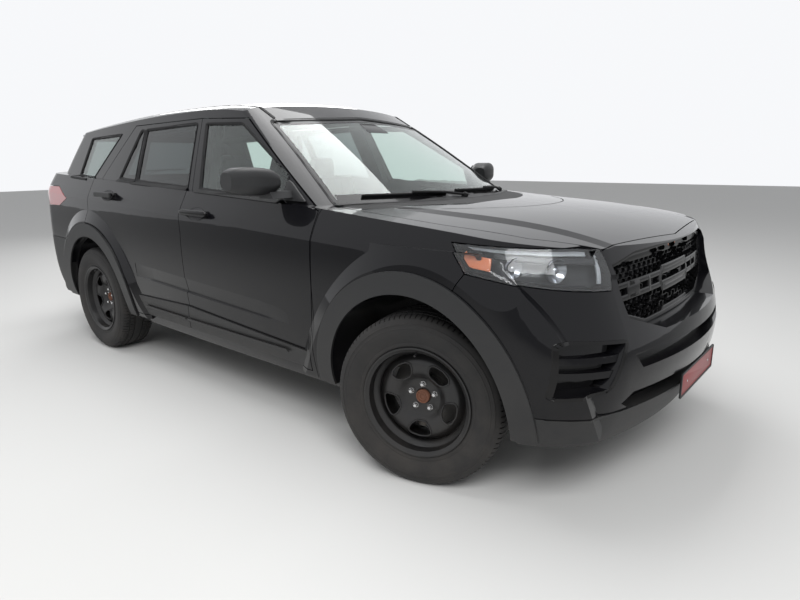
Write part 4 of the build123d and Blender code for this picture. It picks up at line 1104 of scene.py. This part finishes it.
def makeCowl():
    bm = bmesh.new()
    half = cowl["rear"] + cowl["front"]
    outline = half + [(x, -y) for x, y in reversed(half) if y]
    addDraped(bm, outline, nodeTree("fixed_glass", "body_sides", "fenders"), rayFrom["cowl"], (0, 0, -1),
              lift=0.003, thickness=0.004, grid=0.05)
    makePiece("cowlPanel", bm, "trim_plastic")


def alongBlade(blade, t):
    return [a + (b - a) * t for a, b in zip(*blade)]


# A blade, its rubber, an arm and a cap; pointAt gives a place over the glass
def addWiper(bm, pointAt, wiper, shape, capTurn):
    steps = shape["steps"]
    for radius, lift in shape["rods"]:
        places = [pointAt(*alongBlade(wiper["blade"], k / steps), lift) for k in range(steps + 1)]
        addTube(bm, [place for place in places if place], radius, sides=2)
    hold = pointAt(*alongBlade(wiper["blade"], wiper["hold"]), shape["holdLift"])
    pivot = pointAt(*wiper["pivot"], shape["pivotLift"])
    middle = (pivot + hold) / 2 + Vector(shape["crook"])
    near = shape["near"]
    addTube(bm, [pivot, pivot * near + middle * (1 - near), middle, hold], 0.0075)
    cap = bmesh.new()
    addSpun(cap, shape["cap"], 24)
    joinInto(bm, cap, Matrix.Translation(pivot) @ capTurn)


def makeWipers():
    tree = nodeTree("fixed_glass", "body_sides")

    def pointAt(y, z, lift):
        return skinPoint(tree, (rayFrom["screen"], y, z), (-1, 0, 0), lift)

    bm = bmesh.new()
    for wiper in wipers:
        normal = (pointAt(*wiper["pivot"], 1.0) - pointAt(*wiper["pivot"], 0.0)).normalized()
        turn = Vector((0, 1, 0)).rotation_difference(normal).to_matrix().to_4x4()
        addWiper(bm, pointAt, wiper, wiperShapes["front"], turn)
    makePiece("wipers", bm, "seal_rubber", slotName="trim_plastic")


# Strips in the ditches along the roof
def makeDitchStrips():
    bm = bmesh.new()
    for sign in (-1, 1):
        near, far = roofStrip["y"]
        addDraped(bm, rectangle(*roofStrip["x"], sign * near, sign * far), nodeTree("roof", "body_sides"),
                  rayFrom["above"], (0, 0, -1), lift=0.0012, thickness=0.003, grid=0.08)
    makePiece("roofStrips", bm, "seal_rubber", slotName="trim_plastic")


def makeTrims():
    for side in sides:
        makeSeals(side)
        makeSail(side)
        makeMirror(side)
        for name in doorRibs:
            makeDoorRib(name, side)
            makeHandle(name, side)
    makeScreenBand()
    makeCowl()
    makeWipers()
    makeDitchStrips()
    print("trims ready")


# Trim of the bumpers and the tail

bezel = [(-0.650, 0.720), (-0.735, 0.560), (-0.905, 0.545), (-0.890, 0.738)]
lip = (-0.905, 0.905, 0.441, 0.4505)
tailBar = (-0.437, 0.437, 1.092, 1.162)
tailPlate = {"z": 0.985, "slopeDeg": -8.5,
             "surround": [(-0.300, 0.905), (0.300, 0.905), (0.290, 1.062), (-0.290, 1.062)]}
gateLampBars = [(0.470, 0.725, 1.074, 1.081), (0.470, 0.722, 1.148, 1.155)]
stopLamp = (-0.16, 0.16, 1.588, 1.600)
reflector = (0.60, 0.73, 0.565, 0.592)


def addNose(bm, outline, tree, **values):
    addDraped(bm, outline, tree, rayFrom["nose"], (-1, 0, 0), **values)


def addTail(bm, outline, tree, **values):
    addDraped(bm, outline, tree, rayFrom["tail"], (1, 0, 0), **values)


# A rectangle and its mirror image
def bothSides(near, far, low, high):
    return [rectangle(sign * near, sign * far, low, high) for sign in (-1, 1)]


def makeNoseTrim():
    bumper = nodeTree("front_bumper", "front_valance")
    bezels, strip = bmesh.new(), bmesh.new()
    for sign in (-1, 1):
        outline = [(-sign * y, z) for y, z in grownOutline(bezel, 0.014)]
        addNose(bezels, outline, bumper, lift=0.0005, thickness=0.004, grid=0.04, corner=0.026, ring=0.0125,
                edge=0.0012)
    makePiece("fogFrames", bezels, "gloss_plastic")
    addNose(strip, rectangle(*lip), bumper, lift=0.001, thickness=0.005, grid=0.05)
    makePiece("valanceLip", strip, "trim_plastic")


def makeTailTrim():
    gateTree = nodeTree("liftgate", "liftgate_glass")

    def pointAt(y, z, lift):
        return skinPoint(gateTree, (rayFrom["tail"], y, z), (1, 0, 0), lift)

    bar, surround, lines, lamp, marks, wiper = [bmesh.new() for k in range(6)]
    addTail(bar, rectangle(*tailBar), gateTree, lift=0.001, thickness=0.006, grid=0.06, corner=0.01,
            edge=0.002)
    makePiece("tailBar", bar, "gloss_plastic", "liftgate")
    addTail(surround, tailPlate["surround"], gateTree, lift=0.0006, thickness=0.005, grid=0.06, corner=0.02,
            ring=0.013, edge=0.002)
    makePiece("plateSurround", surround, "gloss_plastic", "liftgate")
    makePlate("rear", pointAt(0, tailPlate["z"], 0.005), "liftgate", 180, tailPlate["slopeDeg"])
    lampTree = nodeTree("gate_lamps")
    for line in gateLampBars:
        for outline in bothSides(*line):
            addTail(lines, outline, lampTree, lift=0.0006, thickness=0.0015, grid=0.06)
    makePiece("tailLampBars", lines, "lamp_grey", "liftgate", "lamp_clear")
    addTail(lamp, rectangle(*stopLamp), gateTree, lift=0.0006, thickness=0.003, grid=0.05, corner=0.003)
    makePiece("stopLamp", lamp, "lamp_red", "liftgate")
    bumper = nodeTree("rear_bumper")
    for outline in bothSides(*reflector):
        addTail(marks, outline, bumper, lift=0.0006, thickness=0.004, grid=0.05, corner=0.006, edge=0.0012)
    makePiece("bumperReflectors", marks, "lamp_red")
    addWiper(wiper, pointAt, rearWiper, wiperShapes["rear"], Matrix.Rotation(math.radians(90), 4, "Z"))
    makePiece("rearWiper", wiper, "seal_rubber", "liftgate", "trim_plastic")


rearCorner = {
    "centre": (-2.185, 0.668),
    "firstDeg": 38,
    "steps": 14,
    "thickness": 0.006,
    # Piece and finish, then rows of height, radius at the first angle, radius and angle in degrees at the last
    "zones": (
        ("cornerBumpers", "trim_plastic", [
            (0.425, 0.2365, 0.2380, 52), (0.44, 0.2410, 0.2425, 52), (0.46, 0.2462, 0.2482, 52),
            (0.50, 0.2545, 0.2562, 52), (0.55, 0.2598, 0.2622, 52), (0.60, 0.2632, 0.2652, 52),
            (0.65, 0.2645, 0.2662, 52), (0.70, 0.2645, 0.2655, 52), (0.777, 0.2612, 0.2608, 52)]),
        ("cornerPanels", "body_paint", [
            (0.777, 0.2612, 0.2625, 87), (0.80, 0.2602, 0.2605, 85.5), (0.90, 0.2528, 0.2445, 79.5),
            (0.95, 0.2482, 0.2345, 76), (1.00, 0.2437, 0.2262, 72), (1.046, 0.2412, 0.2235, 70)]),
        ("cornerLamps", "lamp_red", [
            (1.046, 0.2412, 0.2275, 60), (1.06, 0.2408, 0.2270, 60), (1.10, 0.2398, 0.2256, 60),
            (1.135, 0.2383, 0.2256, 60)]),
    ),
}


# Curved panels under the skin of each rear corner, where the body's wall is open
def makeRearCorners():
    cx, cy = rearCorner["centre"]
    first = math.radians(rearCorner["firstDeg"])
    for name, finish, rows in rearCorner["zones"]:
        bm = bmesh.new()
        byHeight = {round(row[0], 4): row[1:] for row in rows}
        for sign in (-1, 1):
            middle = Vector((cx, sign * cy, 0))
            work = bmesh.new()
            chain = [work.verts.new(middle + Vector((0, sign, row[0]))) for row in rows]
            wire = [work.edges.new(pair) for pair in zip(chain, chain[1:])]
            bmesh.ops.spin(work, geom=chain + wire, axis=(0, 0, 1), cent=middle, steps=rearCorner["steps"],
                           angle=sign * math.radians(90))
            for vert in work.verts:
                near, far, lastDeg = byHeight[round(vert.co.z, 4)]
                t = math.atan2(-(vert.co.x - cx), sign * (vert.co.y - sign * cy)) / math.radians(90)
                angle = first + (math.radians(lastDeg) - first) * t
                reach = near + (far - near) * t
                across = Vector((-math.sin(angle), sign * math.cos(angle), 0)) * reach
                vert.co = Vector((middle.x, middle.y, vert.co.z)) + across
            for vert in movedVerts(bmesh.ops.extrude_face_region(work, geom=list(work.faces))):
                way = Vector((vert.co.x - cx, vert.co.y - sign * cy, 0)).normalized()
                vert.co -= way * rearCorner["thickness"]
            bmesh.ops.recalc_face_normals(work, faces=work.faces)
            joinInto(bm, work)
        makePiece(name, bm, finish)


def makeEnds():
    makeNoseTrim()
    makeTailTrim()
    makeRearCorners()
    print("bumper and tail trim ready")


# Seats

seat = {
    "singleWidth": 0.52,
    "cushion": {"size": (0.52, 0.15), "z": 0.64, "lines": {"y": (0.115, -0.115), "x": (0.13,)}},
    "back": {"size": (0.13, 0.62), "place": (-0.30, 0.96), "leanDeg": -16,
             "lines": {"y": (0.10, -0.10), "z": (0.16, -0.12)}},
    "head": {"size": (0.09, 0.24, 0.15), "behind": -0.415, "leanDeg": -8},
    "shrink": 0.009,
    "hem": 0.02,
    "corner": 0.032,
    "pressure": 4.0,
    "cap": 0.02,
    "frames": 20,
    "piping": 0.0022,
    "base": [(-0.2, 0.446), (0.2, 0.446), (0.2, 0.545), (0.17, 0.563), (-0.2, 0.563)],
    "cover": [(-0.28, 0.57), (0.12, 0.57), (0.10, 0.615), (-0.15, 0.66), (-0.22, 0.80), (-0.30, 0.80)],
    "post": [(-0.408, -0.05), (-0.378, -0.15)],
    "socket": [(-0.383, -0.135), (-0.378, -0.155)],
}
axisIndex = {"x": 0, "y": 1, "z": 2}
seatRows = {
    "front_left": {"x": 0.08, "y": 0.38, "width": 0.52, "headZ": 1.33, "voxel": 0.014},
    "front_right": {"x": 0.08, "y": -0.38, "width": 0.52, "headZ": 1.33, "voxel": 0.014},
    "rear": {"x": -0.68, "y": 0.0, "width": 1.28, "headZ": 1.36, "voxel": 0.018},
}


# The padded blocks of a seat: place, size, facing axis and sewn lines
def padBlocks(row):
    x, y, width = row["x"], row["y"], row["width"]
    cushion, back, head = seat["cushion"], seat["back"], seat["head"]
    lean = Matrix.Rotation(math.radians(back["leanDeg"]), 4, "Y")
    inset = (width - seat["singleWidth"]) / 2
    lines = {name: {"y": [value + math.copysign(inset, value) for value in block["lines"]["y"]]}
             for name, block in (("cushion", cushion), ("back", back))}
    lines["cushion"]["x"] = cushion["lines"]["x"]
    lines["back"]["z"] = back["lines"]["z"]
    if width > 1:
        lines["cushion"]["y"].append(0.0)
        lines["back"]["y"].append(0.0)
    depth, height = cushion["size"]
    blocks = [{"place": Matrix.Translation((x, y, cushion["z"])), "size": (depth, width, height), "face": "z",
               "lines": lines["cushion"], "rests": True},
              {"place": Matrix.Translation((x + back["place"][0], y, back["place"][1])) @ lean,
               "size": (back["size"][0], width - 0.02, back["size"][1]), "face": "x", "lines": lines["back"],
               "rests": False}]
    turn = Matrix.Rotation(math.radians(head["leanDeg"]), 4, "Y")
    blocks.append({"place": Matrix.Translation((x + head["behind"], y, row["headZ"])) @ turn,
                   "size": head["size"], "face": "x", "lines": {"y": (), "z": ()}, "rests": False})
    for block in blocks:
        block["half"] = [length / 2 - seat["shrink"] for length in block["size"]]
    return blocks


def startPad(name, row):
    bm = bmesh.new()
    for block in padBlocks(row):
        work = bmesh.new()
        low = [-value for value in block["half"]]
        if block["rests"]:
            low[2] -= seat["shrink"] - 0.0005
        addBox(work, low, block["half"], seat["corner"], 4)
        joinInto(bm, work, block["place"])
    piece = makePiece(name, bm, "seat_cloth")
    remesh = piece.modifiers.new("even", "REMESH")
    remesh.mode = "VOXEL"
    remesh.voxel_size = row["voxel"]
    applyModifiers(piece, 180)
    return piece


# Whether a point of a block is held: where it rests, on a sewn line, or on the hem round its face
def isSewn(block, local, voxel):
    face, half = axisIndex[block["face"]], block["half"]
    depth = half[face] - local[face]
    if any(abs(local[k]) > half[k] + seat["hem"] for k in range(3)):
        return False
    if block["rests"] and local.z < -half[2] + voxel * 0.4:
        return True
    if depth > voxel * 1.6:
        return False
    onLine = any(abs(local[axisIndex[axis]] - place) < voxel * 0.55
                 for axis, places in block["lines"].items() for place in places)
    onHem = any(abs(half[axisIndex[axis]] - seat["hem"] - abs(local[axisIndex[axis]])) < voxel * 0.5
                for axis in block["lines"])
    return onLine or (depth < voxel * 1.5 and onHem)


def pinSeams(piece, row):
    group = piece.vertex_groups.new(name="sewn")
    blocks = [(block, block["place"].inverted()) for block in padBlocks(row)]
    for vert in piece.data.vertices:
        if any(isSewn(block, inverse @ vert.co, row["voxel"]) for block, inverse in blocks):
            group.add([vert.index], 1.0, "REPLACE")


def addCloth(piece):
    cloth = piece.modifiers.new("pad", "CLOTH")
    cloth.settings.use_pressure = True
    cloth.settings.uniform_pressure_force = seat["pressure"]
    cloth.settings.vertex_group_mass = "sewn"
    cloth.settings.effector_weights.gravity = 0
    cloth.settings.quality = 4
    cloth.collision_settings.use_self_collision = False
    cloth.point_cache.frame_end = seat["frames"]


# Every pad swells in the same run, with its movement capped
def swellPads(pads):
    before = {piece.name: [vert.co.copy() for vert in piece.data.vertices] for piece in pads}
    for piece in pads:
        addCloth(piece)
    for moment in range(1, seat["frames"] + 1):
        bpy.context.scene.frame_set(moment)
    for piece in pads:
        applyModifiers(piece, 180)
        for vert, start in zip(piece.data.vertices, before[piece.name]):
            moved = vert.co - start
            if moved.length > seat["cap"]:
                vert.co = start + moved * seat["cap"] / moved.length
    bpy.context.scene.frame_set(1)


def smoothPad(piece):
    finer = piece.modifiers.new("finer", "SUBSURF")
    finer.levels = finer.render_levels = 1
    applyModifiers(piece, 180)


# Piping round a pad's face and along its sewn lines
def addPiping(bm, tree, block):
    face = axisIndex[block["face"]]
    first, second = [axisIndex[axis] for axis in block["lines"]]
    inward = block["place"].to_3x3() @ Vector([-1.0 if k == face else 0.0 for k in range(3)])
    a1, b1 = block["half"][first] - seat["hem"], block["half"][second] - seat["hem"]
    acrossFirst, acrossSecond = block["lines"].values()
    paths = [(rectangle(-a1, a1, -b1, b1), True)]
    paths += [([(place, -b1), (place, b1)], False) for place in acrossFirst]
    paths += [([(-a1, place), (a1, place)], False) for place in acrossSecond]
    for corners, closed in paths:
        places = []
        for a, b in fillPath(corners, 0.03, closed):
            local = Vector((0, 0, 0))
            local[face], local[first], local[second] = block["half"][face] + 0.05, a, b
            hit, normal, index, reach = tree.ray_cast(block["place"] @ local, inward, 0.2)
            if hit:
                places.append(hit)
        if len(places) > 3:
            addTube(bm, places, seat["piping"], closed=closed, sides=2)


# Moulded base, rails, recliner cover and headrest posts
def addSeatFrame(bm, posts, row):
    x, y, width = row["x"], row["y"], row["width"]
    low, high = y - (width - 0.12) / 2, y + (width - 0.12) / 2
    base, cover = [[(x + along, z) for along, z in seat[name]] for name in ("base", "cover")]
    addPlate(bm, base, low, high, axis="y", corner=0.012, edge=0.006)
    for side in (low + 0.02, high - 0.06):
        addBox(bm, (x - 0.25, side, 0.422), (x + 0.24, side + 0.04, 0.45), 0.004)
    for sign in (-1, 1):
        edge = y + sign * (width / 2 + 0.001)
        addPlate(bm, cover, *sorted((edge, edge - sign * 0.03)), axis="y", corner=0.02, edge=0.005)
    shell, half = bmesh.new(), (width - 0.07) / 2
    addBox(shell, (-0.067, -half, -0.27), (-0.05, half, 0.27), 0.007)
    along, z = seat["back"]["place"]
    lean = Matrix.Rotation(math.radians(seat["back"]["leanDeg"]), 4, "Y")
    joinInto(bm, shell, Matrix.Translation((x + along, y, z)) @ lean)
    for side in (y - 0.055, y + 0.055):
        post, socket = [[(x + along, side, row["headZ"] + drop) for along, drop in seat[name]]
                        for name in ("post", "socket")]
        addTube(posts, post, 0.0065, smooth=False)
        addTube(bm, socket, 0.013, smooth=False)


def makeSeats():
    pads = {name: startPad(f"seatPad_{name}", row) for name, row in seatRows.items() if name != "front_right"}
    for name, piece in pads.items():
        pinSeams(piece, seatRows[name])
    swellPads(list(pads.values()))
    for piece in pads.values():
        smoothPad(piece)
    twin = pads["front_left"].data.copy()
    twin.transform(Matrix.Translation((0, seatRows["front_right"]["y"] - seatRows["front_left"]["y"], 0)))
    pads["front_right"] = linkPiece("seatPad_front_right", twin, finishes["seat_cloth"], "root", "seat_cloth")
    piping, bases, posts = bmesh.new(), bmesh.new(), bmesh.new()
    for name, piece in pads.items():
        row = seatRows[name]
        work = bmesh.new()
        work.from_mesh(piece.data)
        tree = BVHTree.FromBMesh(work)
        work.free()
        for block in padBlocks(row):
            addPiping(piping, tree, block)
        addSeatFrame(bases, posts, row)
        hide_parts("rear_seats" if name == "rear" else "front_seats")
    makePiece("seatPiping", piping, "seat_piping", slotName="seat_cloth")
    makePiece("seatBases", bases, "cabin_plastic")
    makePiece("seatPosts", posts, "lug_chrome")
    print("seats:", {name: len(piece.data.polygons) for name, piece in pads.items()})


makeWheels()
makeGrille()
makeFrontPlate()
makeHeadlamps()
makeTrims()
makeEnds()
makeSeats()


# Camera, floor and light

viewpoint = {
    "place": (3.0947, -2.7306, 1.3851),
    "turnDeg": (76.316, 0.465, 40.342),
    "lens": 26.06,
    "sensor": 36.0,
}
studio = {"floorSize": 60.0, "floorColor": (0.62, 0.62, 0.61), "skyColor": (0.93, 0.94, 0.96)}


def makeCamera():
    lens = bpy.data.cameras.new("viewCamera")
    lens.sensor_width = viewpoint["sensor"]
    lens.lens = viewpoint["lens"]
    camera = bpy.data.objects.new("viewCamera", lens)
    camera.location = viewpoint["place"]
    camera.rotation_euler = [math.radians(angle) for angle in viewpoint["turnDeg"]]
    bpy.context.scene.collection.objects.link(camera)
    bpy.context.scene.camera = camera


def makeFloor():
    mesh = bpy.data.meshes.new("studioFloor")
    bm = bmesh.new()
    bmesh.ops.create_grid(bm, x_segments=1, y_segments=1, size=studio["floorSize"] / 2)
    bm.to_mesh(mesh)
    bm.free()
    floor = bpy.data.objects.new("studioFloor", mesh)
    bpy.context.scene.collection.objects.link(floor)
    material, tree, shader = newMaterial("paleFloor", Roughness=0.8)
    shader.inputs["Base Color"].default_value = (*studio["floorColor"], 1)
    mesh.materials.append(material)


def makeLight(name, place, target, size, watts, mirrored=True):
    lamp = bpy.data.lights.new(name, "AREA")
    lamp.shape = "RECTANGLE"
    lamp.size, lamp.size_y = size
    lamp.energy = watts
    piece = bpy.data.objects.new(name, lamp)
    piece.location = place
    piece.rotation_euler = (Vector(target) - Vector(place)).to_track_quat("-Z", "Y").to_euler()
    piece.visible_glossy = mirrored
    bpy.context.scene.collection.objects.link(piece)


def makeWorld():
    world = bpy.data.worlds.new("studioWorld")
    bpy.context.scene.world = world
    world.use_nodes = True
    tree = world.node_tree
    back = tree.nodes["Background"]
    back.inputs["Color"].default_value = (*studio["skyColor"], 1)
    rays = addNode(tree, "ShaderNodeLightPath", (-600, 0))
    first = addNode(tree, "ShaderNodeMath", (-400, 0), operation="MAXIMUM")
    second = addNode(tree, "ShaderNodeMath", (-250, 0), operation="MAXIMUM")
    level = addNode(tree, "ShaderNodeMapRange", (-100, 0))
    level.inputs["To Min"].default_value = 0.45
    level.inputs["To Max"].default_value = 1.0
    linkNodes(tree, rays, "Is Camera Ray", first, 0)
    linkNodes(tree, rays, "Is Glossy Ray", first, 1)
    linkNodes(tree, first, 0, second, 0)
    linkNodes(tree, rays, "Is Transmission Ray", second, 1)
    linkNodes(tree, second, 0, level, "Value")
    linkNodes(tree, level, "Result", back, "Strength")


def makeStudio():
    makeCamera()
    makeFloor()
    makeWorld()
    makeLight("keyPanel", (4.5, -4.5, 5.5), (0, 0, 0.8), (5.0, 3.0), 420, mirrored=False)
    makeLight("topPanel", (-0.5, 0, 6.0), (0, 0, 0.8), (6.0, 3.0), 260)
    makeLight("backPanel", (-6.0, 4.0, 4.0), (0, 0, 1.0), (4.0, 3.0), 160)
    settings = bpy.context.scene.view_settings
    settings.view_transform = "Standard"
    print("studio ready")


dressFrame()
makeStudio()
